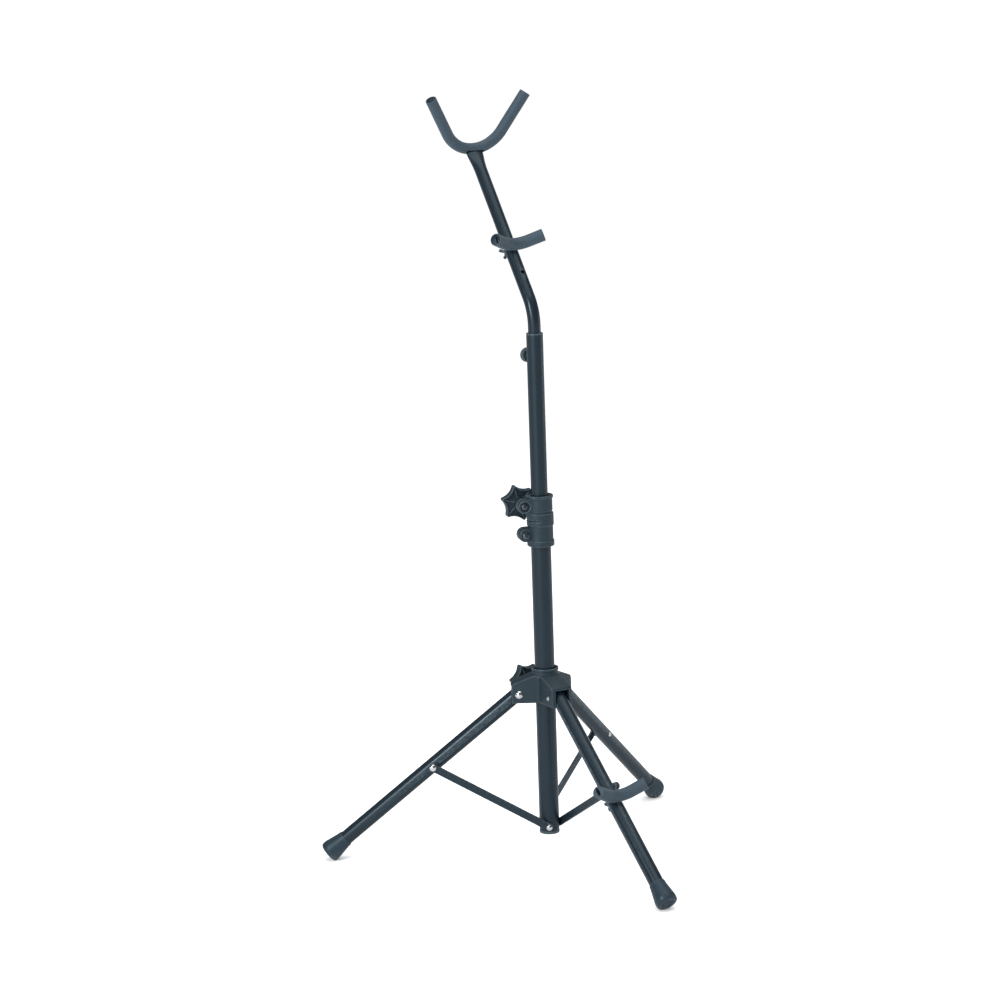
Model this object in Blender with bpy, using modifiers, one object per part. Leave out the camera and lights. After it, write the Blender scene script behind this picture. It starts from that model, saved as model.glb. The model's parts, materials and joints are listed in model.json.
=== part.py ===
"""Folding saxophone stand: a tripod base with a telescopic column, a padded yoke and two cradles.

Metres, +Z up. The origin is on the floor, under the middle of the stand's outline. The front leg
runs along -Y, the yoke leans back over +Y, and X = 0 is the plane of symmetry.
"""
from math import acos, atan2, cos, hypot, pi, radians, sin, sqrt

import bmesh
import bpy
from mathutils import Matrix, Vector

MM = 0.001
GAP = 0.3 * MM                      # between pieces that touch on the real stand
ROUND = 24                          # sides of a tube
FINE = 16                           # sides of a small turned piece
HOLE = 12                           # sides of a hole, and of the pin in it

# Column, middle and upper tubes
COLUMN_R = 15.0 * MM
COLUMN_WALL = 1.5 * MM
COLUMN_LOW = 38.0 * MM
COLUMN_TOP = 511.0 * MM
MID_R = 12.5 * MM
MID_WALL = 1.2 * MM
MID_LOW = 350.0 * MM
MID_TOP = 797.0 * MM
UPPER_R = 9.5 * MM
UPPER_WALL = 1.2 * MM
UPPER_LOW = 690.0 * MM
BEND_Z = 808.0 * MM
BEND_R = 70.0 * MM
LEAN = radians(37.0)                # upper tube from vertical
UPPER_RUN = 259.0 * MM              # straight length above the bend, to the yoke's centre line

# Tripod
LEG_AZIMUTHS = {"front": radians(270.0), "right": radians(30.0), "left": radians(150.0)}
LEG_ANGLE = radians(39.26)          # below horizontal
LEG_R = 11.0 * MM
LEG_WALL = 1.2 * MM
LEG_LENGTH = 384.0 * MM             # from the hub pivot to the end of the foot
LEG_STUB = 5.2 * MM                 # of tube behind the hub pivot
PIVOT_RADIUS = 39.3 * MM            # of the leg pivots about the column
FOOT_R = 16.4 * MM
FOOT_LENGTH = 36.0 * MM
FOOT_FLOOR = 8.0 * MM               # rubber beyond the end of the tube
FOOT_EDGE = 3.0 * MM
FOOT_PRESS = 1.2 * MM               # of each foot's edge is squashed flat on the floor
STRUT_AT = 172.0 * MM               # along the leg from the hub pivot
STRUT_LOW_Z = 46.2 * MM
STRUT_WIDTH = 11.7 * MM
STRUT_THICK = 3.6 * MM
STRUT_SIDE = COLUMN_R + 0.5 * MM    # the strut's inner face, beside the column's axis

# Hub
ARM_HALF = 17.0 * MM
ARM_REACH = 53.0 * MM
HUB_LOW = -13.5 * MM                # heights are from the leg pivots
HUB_EAVE = 16.5 * MM
HUB_TOP = 29.5 * MM
HUB_RIDGE_R = 21.5 * MM
COLLAR_R = 20.8 * MM
COLLAR_TOP = 38.5 * MM
HUB_BORE_R = COLUMN_R + 0.4 * MM
SLOT_HALF = LEG_R + 0.5 * MM
SLOT_BACK = 17.0 * MM
SLOT_ROOF = 12.8 * MM
HUB_KNOB_Z = 5.5 * MM
HUB_BOSS_R = 9.0 * MM
HUB_BOSS_END = 38.5 * MM

# Clutch between the column and the middle tube
CLUTCH_LOW = 478.5 * MM
CLUTCH_TOP = 555.5 * MM
CLUTCH_TURN = radians(15.0)         # its bolts' axes lie between +Y and +X
CLUTCH_R = 19.0 * MM
CLUTCH_RIM_R = 20.4 * MM
CLUTCH_RIM = 8.6 * MM               # height of the bottom rim
TOP_RIM = 3.5 * MM
BAND_R = 20.3 * MM
BAND_TOP = 528.6 * MM
BAND_LOW = 510.2 * MM
GROOVE_TOP = 532.0 * MM
GROOVE_DEPTH = 0.9 * MM
CLUTCH_BORE_R = 14.9 * MM           # round the bush
LIP_R = MID_R + 0.8 * MM
CUT_Z = 518.0 * MM                  # the cross cut that frees the clamped half
CUT_HALF = 0.8 * MM
CUT_X = -4.6 * MM                   # the cut runs from the ears' side to here
CLAMP_Z = 540.0 * MM
FIXING_Z = 497.0 * MM
EAR_X = 24.8 * MM
EAR_ROOT = 15.6 * MM                # where the ears start, inside the body's skin
EAR_R = 10.5 * MM
EAR_HALF = 10.5 * MM
SINK_R = 7.4 * MM                   # the clamp bolt's head is sunk in the ear
SINK_DEPTH = 3.4 * MM
SLIT_HALF = 1.4 * MM

# Knobs
STAR_R = 27.0 * MM
STAR_VALLEY_R = 18.0 * MM
STAR_TIP_R = 26.3 * MM              # the points between the scallops are blunted at this radius
STAR_LOBES = 6
STAR_THICK = 13.0 * MM
STAR_NECK = 12.0 * MM               # of boss before the disc
STAR_BOSS_R = 8.6 * MM
STAR_SOCKET_FLOOR = 4.0 * MM
CLUTCH_KNOB_PHASE = radians(14.6)   # where a point of each knob rests
HUB_KNOB_PHASE = radians(6.2)
STUD_R = 4.0 * MM
THUMB_Z = 763.0 * MM
THUMB_R = 11.0 * MM

# Yoke and cradles
YOKE_ROD_R = 5.0 * MM
YOKE_FOAM_R = 8.5 * MM
YOKE_BEND_R = 54.0 * MM
YOKE_SPLAY = radians(30.7)          # of the arms from the yoke's middle line
YOKE_ARM = 66.2 * MM
YOKE_TILT = radians(15.5)           # forward from vertical
YOKE_END = 5.0 * MM                 # of foam beyond each end of the rod
CRADLE_FOAM_R = 9.25 * MM
CRADLE_BORE_R = 7.3 * MM
CRADLE_BEND_R = 38.0 * MM
CRADLE_SPLAY = radians(55.0)
CRADLE_ARM = 23.0 * MM
CRADLE_END = 8.0 * MM               # of foam beyond each end of the strip
CRADLE_OFF = 5.5 * MM               # from the tube's skin to the strip's middle line
SEAT_HALF = 24.0 * MM               # of the flat that lets the foam turn on its tube
CRADLE_STRIP_WIDTH = 13.8 * MM
CRADLE_STRIP_THICK = 2.4 * MM
CRADLE_SPACER_R = 5.0 * MM
MID_BOLT_TAIL = 15.0 * MM           # of bolt behind the tube
LOW_BOLT_TAIL = 9.0 * MM
MID_WING_TURN = radians(135.0)      # how each wing nut is left, about its bolt
LOW_WING_TURN = radians(107.5)
MID_CRADLE_AT = 82.0 * MM           # along the upper tube from the end of its bend
LOW_CRADLE_AT = 200.0 * MM          # along the front leg from the hub pivot
SPARE_HOLE_AT = 38.0 * MM
CRADLE_BOLT_R = 2.5 * MM

RIVET_R = 2.5 * MM
BOLT_R = 3.0 * MM

# The feet stand on z = 0
HUB_Z = ((LEG_LENGTH - FOOT_EDGE) * sin(LEG_ANGLE)
         + (FOOT_R - FOOT_EDGE) * cos(LEG_ANGLE) + FOOT_EDGE - FOOT_PRESS)
FOOT_REACH = (PIVOT_RADIUS + (LEG_LENGTH - FOOT_EDGE) * cos(LEG_ANGLE)
              + (FOOT_R - FOOT_EDGE) * sin(LEG_ANGLE) + FOOT_EDGE)
BACK_REACH = ((PIVOT_RADIUS + (LEG_LENGTH - FOOT_EDGE) * cos(LEG_ANGLE)) * sin(radians(30))
              + (FOOT_R - FOOT_EDGE) * hypot(sin(LEG_ANGLE) * sin(radians(30)), cos(radians(30)))
              + FOOT_EDGE)
COLUMN_Y = (FOOT_REACH - BACK_REACH) / 2

COLOURS = {
    "powder_coat": ((0.035, 0.045, 0.055), 0.42, 0.0),
    "moulded_nylon": ((0.045, 0.058, 0.068), 0.55, 0.0),
    "foam": ((0.06, 0.078, 0.09), 0.9, 0.0),
    "rubber": ((0.04, 0.052, 0.06), 0.75, 0.0),
    "chrome": ((0.8, 0.8, 0.8), 0.12, 1.0),
    "zinc_steel": ((0.1, 0.107, 0.115), 0.38, 1.0),
}

for old in list(bpy.data.objects):
    bpy.data.objects.remove(old, do_unlink=True)

PARTS = bpy.data.collections.new("saxophone_stand")
CUTTERS = bpy.data.collections.new("cutters")
bpy.context.scene.collection.children.link(PARTS)
bpy.context.scene.collection.children.link(CUTTERS)


# ---------------------------------------------------------------- helpers

def material(slot):
    """The plain Principled material of a slot."""
    if slot in bpy.data.materials:
        return bpy.data.materials[slot]
    colour, roughness, metallic = COLOURS[slot]
    made = bpy.data.materials.new(slot)
    made.use_nodes = True
    shader = made.node_tree.nodes["Principled BSDF"]
    shader.inputs["Base Color"].default_value = (*colour, 1.0)
    shader.inputs["Roughness"].default_value = roughness
    shader.inputs["Metallic"].default_value = metallic
    return made


def frame(name, parent=None, location=(0, 0, 0), rotation=(0, 0, 0)):
    """An empty: the frame that pieces are placed in, on their joint's axis."""
    made = bpy.data.objects.new(name, None)
    made.empty_display_size = 0.02
    made.parent = parent
    made.location = location
    made.rotation_euler = rotation
    PARTS.objects.link(made)
    return made


def piece(name, mesh, slot, parent, location=(0, 0, 0), rotation=(0, 0, 0)):
    """A sub-part, in its parent's frame."""
    made = bpy.data.objects.new(name, mesh)
    made.parent = parent
    made.location = location
    made.rotation_euler = rotation
    if slot is None:
        CUTTERS.objects.link(made)
        made.hide_render = True
        made.display_type = "WIRE"
        return made
    PARTS.objects.link(made)
    made.data.materials.append(material(slot))
    return made


def shade(mesh, angle=35.0):
    mesh.shade_smooth()
    mesh.set_sharp_from_angle(angle=radians(angle))
    return mesh


def finished(made):
    """Replace an object with modifiers by its evaluated, welded mesh."""
    bpy.context.view_layer.update()
    graph = bpy.context.evaluated_depsgraph_get()
    mesh = bpy.data.meshes.new_from_object(made.evaluated_get(graph))
    work = bmesh.new()
    work.from_mesh(mesh)
    bmesh.ops.remove_doubles(work, verts=work.verts, dist=0.002 * MM)
    work.to_mesh(mesh)
    work.free()
    bpy.data.objects.remove(made, do_unlink=True)
    return shade(mesh)


def turned(outline, sides=FINE):
    """A turned solid about Z. The outline runs down the outer side; a ring's outline is closed."""
    mesh = bpy.data.meshes.new("outline")
    points = [(r, 0.0, z) for r, z in outline]
    closed = outline[0][0] > 0
    edges = [(i, i + 1) for i in range(len(points) - 1)]
    if closed:
        edges.append((len(points) - 1, 0))
    mesh.from_pydata(points, edges, [])
    made = bpy.data.objects.new("turned", mesh)
    bpy.context.scene.collection.objects.link(made)
    screw = made.modifiers.new("turn", "SCREW")
    screw.steps = sides
    screw.render_steps = sides
    screw.use_merge_vertices = True
    screw.merge_threshold = 0.00001
    screw.use_normal_calculate = False
    return finished(made)


def cylinder(radius, low, high, sides=FINE):
    """A plain round bar along Z."""
    work = bmesh.new()
    bmesh.ops.create_cone(work, cap_ends=True, segments=sides, radius1=radius, radius2=radius,
                          depth=high - low, matrix=Matrix.Translation((0, 0, (low + high) / 2)))
    mesh = bpy.data.meshes.new("cylinder")
    work.to_mesh(mesh)
    work.free()
    return shade(mesh)


def ring(inner, outer, low, high, sides=FINE):
    """A plain tube along Z."""
    return turned([(outer, high), (outer, low), (inner, low), (inner, high)], sides)


def block(low, high):
    """A box between two corners."""
    work = bmesh.new()
    size = Vector(high) - Vector(low)
    centre = (Vector(high) + Vector(low)) / 2
    bmesh.ops.create_cube(work, size=1.0,
                          matrix=Matrix.Translation(centre) @ Matrix.Diagonal((*size, 1.0)))
    mesh = bpy.data.meshes.new("block")
    work.to_mesh(mesh)
    work.free()
    return mesh


def plate(outline, thickness, edge=0.0, rounds=2):
    """A flat outline in XY, extruded to both sides of Z = 0, with its edges rounded."""
    curve = bpy.data.curves.new("outline", "CURVE")
    curve.dimensions = "2D"
    curve.fill_mode = "BOTH"
    curve.extrude = thickness / 2
    spline = curve.splines.new("POLY")
    spline.points.add(len(outline) - 1)
    for point, (x, y) in zip(spline.points, outline):
        point.co = (x, y, 0.0, 1.0)
    spline.use_cyclic_u = True
    made = bpy.data.objects.new("plate", curve)
    bpy.context.scene.collection.objects.link(made)
    mesh = finished(made)
    bpy.data.curves.remove(curve)
    if edge:
        made = bpy.data.objects.new("plate", mesh)
        bpy.context.scene.collection.objects.link(made)
        bevel = made.modifiers.new("edge", "BEVEL")
        bevel.width = edge
        bevel.segments = rounds
        bevel.angle_limit = radians(50)
        mesh = finished(made)
    return mesh


def arc(centre, radius, start, end, count):
    """Points of an arc, both ends included."""
    return [(centre[0] + radius * cos(start + (end - start) * i / count),
             centre[1] + radius * sin(start + (end - start) * i / count))
            for i in range(count + 1)]


def loft(rings):
    """A closed skin over rings of points; the first and last are capped."""
    work = bmesh.new()
    loops = []
    for points in rings:
        verts = [work.verts.new(p) for p in points]
        loops.append(verts)
    count = len(loops[0])
    for low, high in zip(loops, loops[1:]):
        for i in range(count):
            j = (i + 1) % count
            work.faces.new((low[i], low[j], high[j], high[i]))
    work.faces.new(list(reversed(loops[0])))
    work.faces.new(loops[-1])
    bmesh.ops.recalc_face_normals(work, faces=work.faces)
    mesh = bpy.data.meshes.new("loft")
    work.to_mesh(mesh)
    work.free()
    return shade(mesh)


def swept(path, section, side):
    """Rings of a section carried along a flat path; side is the normal of the path's plane."""
    rings = []
    last = len(path) - 1
    for i, point in enumerate(path):
        ahead = (path[min(i + 1, last)] - path[max(i - 1, 0)]).normalized()
        across = side.cross(ahead).normalized()
        rings.append([point + side * u + across * v for u, v in section(i)])
    return rings


def circle(radius, count):
    return [(radius * cos(2 * pi * i / count), radius * sin(2 * pi * i / count))
            for i in range(count)]


def apply(target, kind, others):
    """Boolean modifiers on a sub-part, one for each other object."""
    for other in others:
        step = target.modifiers.new(kind.lower(), "BOOLEAN")
        step.operation = kind
        step.solver = "EXACT"
        step.object = other
    return target


def hole(name, radius, low, high, parent, location=(0, 0, 0), rotation=(0, 0, 0), sides=HOLE):
    return piece(name, cylinder(radius, low, high, sides), None, parent, location, rotation)


ALONG_Y = (-pi / 2, 0, 0)           # turns a piece's +Z to its parent's +Y
ALONG_MINUS_Y = (pi / 2, 0, 0)


# ---------------------------------------------------------------- shared shapes

def dome_head(radius, height, base):
    """Outline of a domed head that sits on z = base, from its top down."""
    ball = (radius * radius + height * height) / (2 * height)
    spread = acos((ball - height) / ball)
    centre = base + height - ball
    points = [(ball * sin(spread * i / 3), centre + ball * cos(spread * i / 3))
              for i in range(3)]
    return points + [(radius, base)]


def rivet(shank, head, height, base, end, tail=0.0, tail_height=0.0):
    """A domed rivet along Z: the head sits on base, the shank reaches down to end."""
    outline = dome_head(head, height, base)
    outline.append((shank, base))
    if tail:
        outline += [(shank, end), (tail, end), (tail * 0.75, end - tail_height)]
        outline.append((0.0, end - tail_height))
    else:
        outline += [(shank, end), (0.0, end)]
    return turned(outline, HOLE)


def star_reach(turn):
    """Radius of the star knob at an angle: round scallops between six blunted points."""
    half = pi / STAR_LOBES
    point = STAR_R * cos(half) - STAR_VALLEY_R
    away = (STAR_R ** 2 - STAR_VALLEY_R ** 2) / (2 * point)
    scallop = away - STAR_VALLEY_R
    off = (turn % (2 * half)) - half
    reach = away * cos(off) - sqrt(max(scallop ** 2 - (away * sin(off)) ** 2, 0.0))
    return min(reach, STAR_TIP_R)


def star_knob(bore, phase):
    """A six-lobed hand knob with its boss towards z = 0; the disc is on top."""
    count = STAR_LOBES * 6
    points = []
    for i in range(count):
        turn = 2 * pi * i / count
        reach = star_reach(turn)
        points.append((reach * cos(turn + phase), reach * sin(turn + phase)))
    disc = plate(points, STAR_THICK, 1.6 * MM, 1)
    disc.transform(Matrix.Translation((0, 0, STAR_NECK + STAR_THICK / 2)))
    made = bpy.data.objects.new("star", disc)
    bpy.context.scene.collection.objects.link(made)
    top = STAR_NECK + STAR_THICK
    boss = piece("star_boss", cylinder(STAR_BOSS_R, 0.0, STAR_NECK + 4 * MM), None, None)
    socket = piece("star_socket", cylinder(bore, -MM, top - STAR_SOCKET_FLOOR), None, None)
    apply(made, "UNION", [boss])
    apply(made, "DIFFERENCE", [socket])
    mesh = finished(made)
    bpy.data.objects.remove(boss, do_unlink=True)
    bpy.data.objects.remove(socket, do_unlink=True)
    return mesh


def wing_nut(bore):
    """A wing nut on z = 0, its wings along X."""
    body_r = 4.8 * MM
    body_height = 5.0 * MM
    tip_x = 14.0 * MM
    tip_z = 8.5 * MM
    wing = [(0.0, 0.4 * MM), (5.5 * MM, 0.4 * MM), (12.6 * MM, 3.0 * MM), (tip_x, 5.0 * MM),
            (13.4 * MM, 7.8 * MM), (11.2 * MM, tip_z), (6.2 * MM, 4.4 * MM), (0.0, 4.4 * MM)]
    outline = wing + [(-x, y) for x, y in reversed(wing[1:-1])]
    wings = plate(outline, 2.6 * MM, 0.6 * MM, 1)
    wings.transform(Matrix.Rotation(pi / 2, 4, "X"))
    made = bpy.data.objects.new("wings", wings)
    bpy.context.scene.collection.objects.link(made)
    body = piece("wing_body", cylinder(body_r, 0.0, body_height, 14), None, None)
    thread = piece("wing_thread", cylinder(bore, -MM, body_height + 2 * MM, HOLE), None, None)
    apply(made, "UNION", [body])
    apply(made, "DIFFERENCE", [thread])
    mesh = finished(made)
    bpy.data.objects.remove(body, do_unlink=True)
    bpy.data.objects.remove(thread, do_unlink=True)
    return mesh


def u_path(bend_radius, splay, arm, per_side):
    """A flat U in XZ with its lowest point at the origin; the arms splay from +Z."""
    sweep = pi / 2 - splay
    points = []
    for i in range(-per_side, per_side + 1):
        turn = sweep * i / per_side
        points.append(Vector((bend_radius * sin(turn), 0.0, bend_radius * (1 - cos(turn)))))
    out = Vector((sin(splay), 0.0, cos(splay)))
    right = points[-1] + out * arm
    left = Vector((-right.x, 0.0, right.z))
    return [left] + points + [right]


def trimmed(path, length):
    """The same path with both ends cut back by a length."""
    ends = []
    for end, inner in ((path[0], path[1]), (path[-1], path[-2])):
        ends.append(end + (inner - end).normalized() * length)
    return [ends[0]] + path[1:-1] + [ends[1]]


def sleeve(path, outer, inner, sides=12):
    """A foam sleeve along a flat path, open at both ends."""
    side = Vector((0, 1, 0))
    skin = swept(path, lambda i: circle(outer, sides), side)
    bore = swept(path, lambda i: circle(inner, sides), side)
    work = bmesh.new()
    outside = [[work.verts.new(p) for p in points] for points in skin]
    inside = [[work.verts.new(p) for p in points] for points in bore]
    for loops in (outside, inside):
        for low, high in zip(loops, loops[1:]):
            for i in range(sides):
                j = (i + 1) % sides
                work.faces.new((low[i], low[j], high[j], high[i]))
    for end in (0, -1):
        for i in range(sides):
            j = (i + 1) % sides
            work.faces.new((outside[end][i], outside[end][j], inside[end][j], inside[end][i]))
    bmesh.ops.recalc_face_normals(work, faces=work.faces)
    mesh = bpy.data.meshes.new("sleeve")
    work.to_mesh(mesh)
    work.free()
    return shade(mesh)


# ---------------------------------------------------------------- column and clutch

def make_column(stand):
    """The fixed 30 mm tube and its bottom plug."""
    column = ring(COLUMN_R - COLUMN_WALL, COLUMN_R, COLUMN_LOW, COLUMN_TOP, ROUND)
    piece("column_tube", column, "powder_coat", stand)
    spigot = COLUMN_R - COLUMN_WALL - GAP
    flange = COLUMN_R + 0.2 * MM
    low = COLUMN_LOW - 4 * MM
    outline = [(0.0, COLUMN_LOW + 14 * MM), (spigot, COLUMN_LOW + 14 * MM),
               (spigot, COLUMN_LOW - GAP), (flange, COLUMN_LOW - GAP),
               (flange, low + MM), (flange - MM, low), (0.0, low)]
    piece("column_bottom_plug", turned(outline, ROUND), "moulded_nylon", stand)


def clutch_outline():
    """Closed outline of the clutch body: rims and bands outside, a stepped bore inside."""
    low_bore = COLUMN_R + GAP
    rim_low = CLUTCH_TOP - TOP_RIM
    groove_r = CLUTCH_R - GROOVE_DEPTH
    rim_top = CLUTCH_LOW + CLUTCH_RIM
    lip = CLUTCH_TOP - 3 * MM
    return [
        (CLUTCH_RIM_R - 0.8 * MM, CLUTCH_TOP), (CLUTCH_RIM_R, CLUTCH_TOP - 0.8 * MM),
        (CLUTCH_RIM_R, rim_low), (CLUTCH_R, rim_low - 1.2 * MM), (CLUTCH_R, GROOVE_TOP),
        (groove_r, GROOVE_TOP - 0.8 * MM), (groove_r, BAND_TOP + 0.8 * MM),
        (BAND_R, BAND_TOP), (BAND_R, BAND_LOW), (CLUTCH_R, BAND_LOW - 0.8 * MM),
        (CLUTCH_R, rim_top + MM), (CLUTCH_RIM_R, rim_top), (CLUTCH_RIM_R, CLUTCH_LOW + MM),
        (CLUTCH_RIM_R - MM, CLUTCH_LOW), (low_bore, CLUTCH_LOW), (low_bore, COLUMN_TOP + GAP),
        (CLUTCH_BORE_R, COLUMN_TOP + GAP), (CLUTCH_BORE_R, lip), (LIP_R, lip), (LIP_R, CLUTCH_TOP)]


def ear(name, height, clutch):
    """A round clamp ear that points to -X, before the slit is cut."""
    outline = arc((-EAR_X, 0.0), EAR_R, pi / 2, 3 * pi / 2, 10)
    outline += [(-EAR_ROOT, -EAR_R), (-EAR_ROOT, EAR_R)]
    mesh = plate(outline, 2 * EAR_HALF, 1.2 * MM, 1)
    return piece(name, mesh, None, clutch, (0, 0, height), ALONG_MINUS_Y)


def make_clutch(stand):
    """The moulded clutch, its bush, the clamp bolt and the screw that fixes it to the column."""
    clutch = frame("clutch", stand, (0, 0, 0), (0, 0, -CLUTCH_TURN))
    body = piece("clutch_body", turned(clutch_outline(), ROUND), "moulded_nylon", clutch)
    ears = [ear("clamp_ear", CLAMP_Z, clutch), ear("fixing_ear", FIXING_Z, clutch)]
    apply(body, "UNION", ears)
    reach = -EAR_X - EAR_R - 5 * MM
    slit = block((reach, -SLIT_HALF, CLUTCH_LOW - MM), (-10 * MM, SLIT_HALF, CLUTCH_TOP + MM))
    across = block((reach, -25 * MM, CUT_Z - CUT_HALF), (CUT_X, 25 * MM, CUT_Z + CUT_HALF))
    cuts = [piece("clutch_slit", slit, None, clutch), piece("clutch_cut", across, None, clutch)]
    for name, height in (("clamp", CLAMP_Z), ("fixing", FIXING_Z)):
        cuts.append(hole(name + "_bolt_hole", BOLT_R + GAP, -20 * MM, 20 * MM, clutch,
                         (-EAR_X, 0, height), ALONG_Y))
    cuts.append(hole("clamp_sink", SINK_R, EAR_HALF - SINK_DEPTH, 20 * MM, clutch,
                     (-EAR_X, 0, CLAMP_Z), ALONG_MINUS_Y, FINE))
    apply(body, "DIFFERENCE", cuts)

    bush = ring(MID_R + GAP, CLUTCH_BORE_R - GAP, COLUMN_TOP + 2 * MM, CLUTCH_TOP - 3 * MM - GAP, ROUND)
    split = block((-20 * MM, -0.6 * MM, COLUMN_TOP), (0, 0.6 * MM, CLUTCH_TOP))
    bush = piece("clutch_bush", bush, "moulded_nylon", clutch)
    apply(bush, "DIFFERENCE", [piece("bush_split", split, None, clutch)])

    face = EAR_HALF + GAP
    head = 6.2 * MM
    clamp = rivet(BOLT_R, head, 3.2 * MM, face - SINK_DEPTH, -EAR_HALF - 19 * MM)
    piece("clamp_bolt", clamp, "zinc_steel", clutch, (-EAR_X, 0, CLAMP_Z), ALONG_MINUS_Y)
    fixing = rivet(BOLT_R, head, 3.2 * MM, face, -EAR_HALF - 6 * MM)
    piece("fixing_bolt", fixing, "zinc_steel", clutch, (-EAR_X, 0, FIXING_Z), ALONG_MINUS_Y)
    nut = ring((BOLT_R + GAP) / cos(pi / 6), 5.8 * MM, 0.0, 5.0 * MM, 6)
    piece("fixing_nut", nut, "zinc_steel", clutch, (-EAR_X, face, FIXING_Z), ALONG_Y)
    return clutch


def make_clutch_knob(clutch):
    """The star knob that draws the clamp ears together, on the clamp bolt's axis."""
    socket_r = 5.6 * MM
    axis = frame("clutch_knob_axis", clutch, (-EAR_X, EAR_HALF + GAP, CLAMP_Z), ALONG_Y)
    piece("clutch_knob", star_knob(socket_r, CLUTCH_KNOB_PHASE), "moulded_nylon", axis)
    insert = ring((BOLT_R + GAP) / cos(pi / 6), socket_r - 2 * GAP, 0.5 * MM, 9.0 * MM, 6)
    piece("clutch_knob_insert", insert, "zinc_steel", axis)


# ---------------------------------------------------------------- hub

def hub_plan():
    """The hub from above: three arms with rounded corners, joined at the middle."""
    corner = 2.2 * MM
    crotch = ARM_HALF / sin(pi / 3)
    points = []
    for azimuth in sorted(LEG_AZIMUTHS.values()):
        arm = [(crotch * cos(pi / 3), -ARM_HALF)]
        arm += arc((ARM_REACH - corner, corner - ARM_HALF), corner, -pi / 2, 0.0, 3)
        arm += arc((ARM_REACH - corner, ARM_HALF - corner), corner, 0.0, pi / 2, 3)
        for x, y in arm:
            points.append((x * cos(azimuth) - y * sin(azimuth), x * sin(azimuth) + y * cos(azimuth)))
    return points


def make_hub(hub):
    """The sliding hub: three slotted arms round the column, a collar and the knob's boss."""
    height = 60 * MM
    prism = plate(hub_plan(), height, 1.3 * MM)
    prism.transform(Matrix.Translation((0, 0, HUB_LOW + height / 2)))
    made = piece("hub", prism, "moulded_nylon", hub)
    eave_r = ARM_REACH + 0.6 * MM
    roof = [(0.0, HUB_TOP), (HUB_RIDGE_R, HUB_TOP), (eave_r - 4.4 * MM, HUB_EAVE + 1.2 * MM),
            (eave_r - 1.5 * MM, HUB_EAVE - 1.4 * MM), (eave_r, HUB_EAVE - 5 * MM),
            (eave_r + 5 * MM, HUB_LOW - 9 * MM), (0.0, HUB_LOW - 9 * MM)]
    apply(made, "INTERSECT", [piece("hub_roof", turned(roof, 36), None, hub)])
    collar = turned([(0.0, COLLAR_TOP), (COLLAR_R - MM, COLLAR_TOP),
                     (COLLAR_R, COLLAR_TOP - MM), (COLLAR_R, HUB_TOP - 3 * MM),
                     (0.0, HUB_TOP - 3 * MM)], ROUND)
    joined = [piece("hub_collar", collar, None, hub)]
    joined.append(hole("hub_knob_boss", HUB_BOSS_R, 10 * MM, HUB_BOSS_END, hub,
                       (0, 0, HUB_KNOB_Z), ALONG_Y))
    apply(made, "UNION", joined)

    cuts = [hole("hub_bore", HUB_BORE_R, HUB_LOW - MM, COLLAR_TOP + MM, hub, sides=ROUND)]
    for name, azimuth in LEG_AZIMUTHS.items():
        slot = block((PIVOT_RADIUS - SLOT_BACK, -SLOT_HALF, HUB_LOW - 5 * MM),
                     (ARM_REACH + 5 * MM, SLOT_HALF, SLOT_ROOF))
        cuts.append(piece(name + "_slot", slot, None, hub, (0, 0, 0), (0, 0, azimuth)))
        pivot = (PIVOT_RADIUS * cos(azimuth), PIVOT_RADIUS * sin(azimuth), 0)
        cuts.append(hole(name + "_pivot_hole", BOLT_R + GAP, -30 * MM, 30 * MM, hub, pivot,
                         (-pi / 2, 0, azimuth)))
    cuts.append(hole("hub_knob_hole", STUD_R + GAP, 10 * MM, 50 * MM, hub, (0, 0, HUB_KNOB_Z),
                     ALONG_Y))
    apply(made, "DIFFERENCE", cuts)

    for name, azimuth in LEG_AZIMUTHS.items():
        pivot = (PIVOT_RADIUS * cos(azimuth), PIVOT_RADIUS * sin(azimuth), 0)
        bolt = rivet(BOLT_R, 5.9 * MM, 3.4 * MM, ARM_HALF + GAP, -ARM_HALF - GAP, 3.6 * MM, 2 * MM)
        piece(name + "_hub_rivet", bolt, "chrome", hub, pivot, (-pi / 2, 0, azimuth))


def make_hub_knob(hub):
    """The star knob that clamps the hub on the column."""
    axis = frame("hub_knob_axis", hub, (0, HUB_BOSS_END + GAP, HUB_KNOB_Z), ALONG_Y)
    piece("hub_knob", star_knob(STUD_R + GAP, HUB_KNOB_PHASE), "moulded_nylon", axis)
    stud = cylinder(STUD_R, COLUMN_R + GAP - HUB_BOSS_END, 19 * MM, 16)
    piece("hub_knob_stud", stud, "zinc_steel", axis)


# ---------------------------------------------------------------- legs and struts

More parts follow.
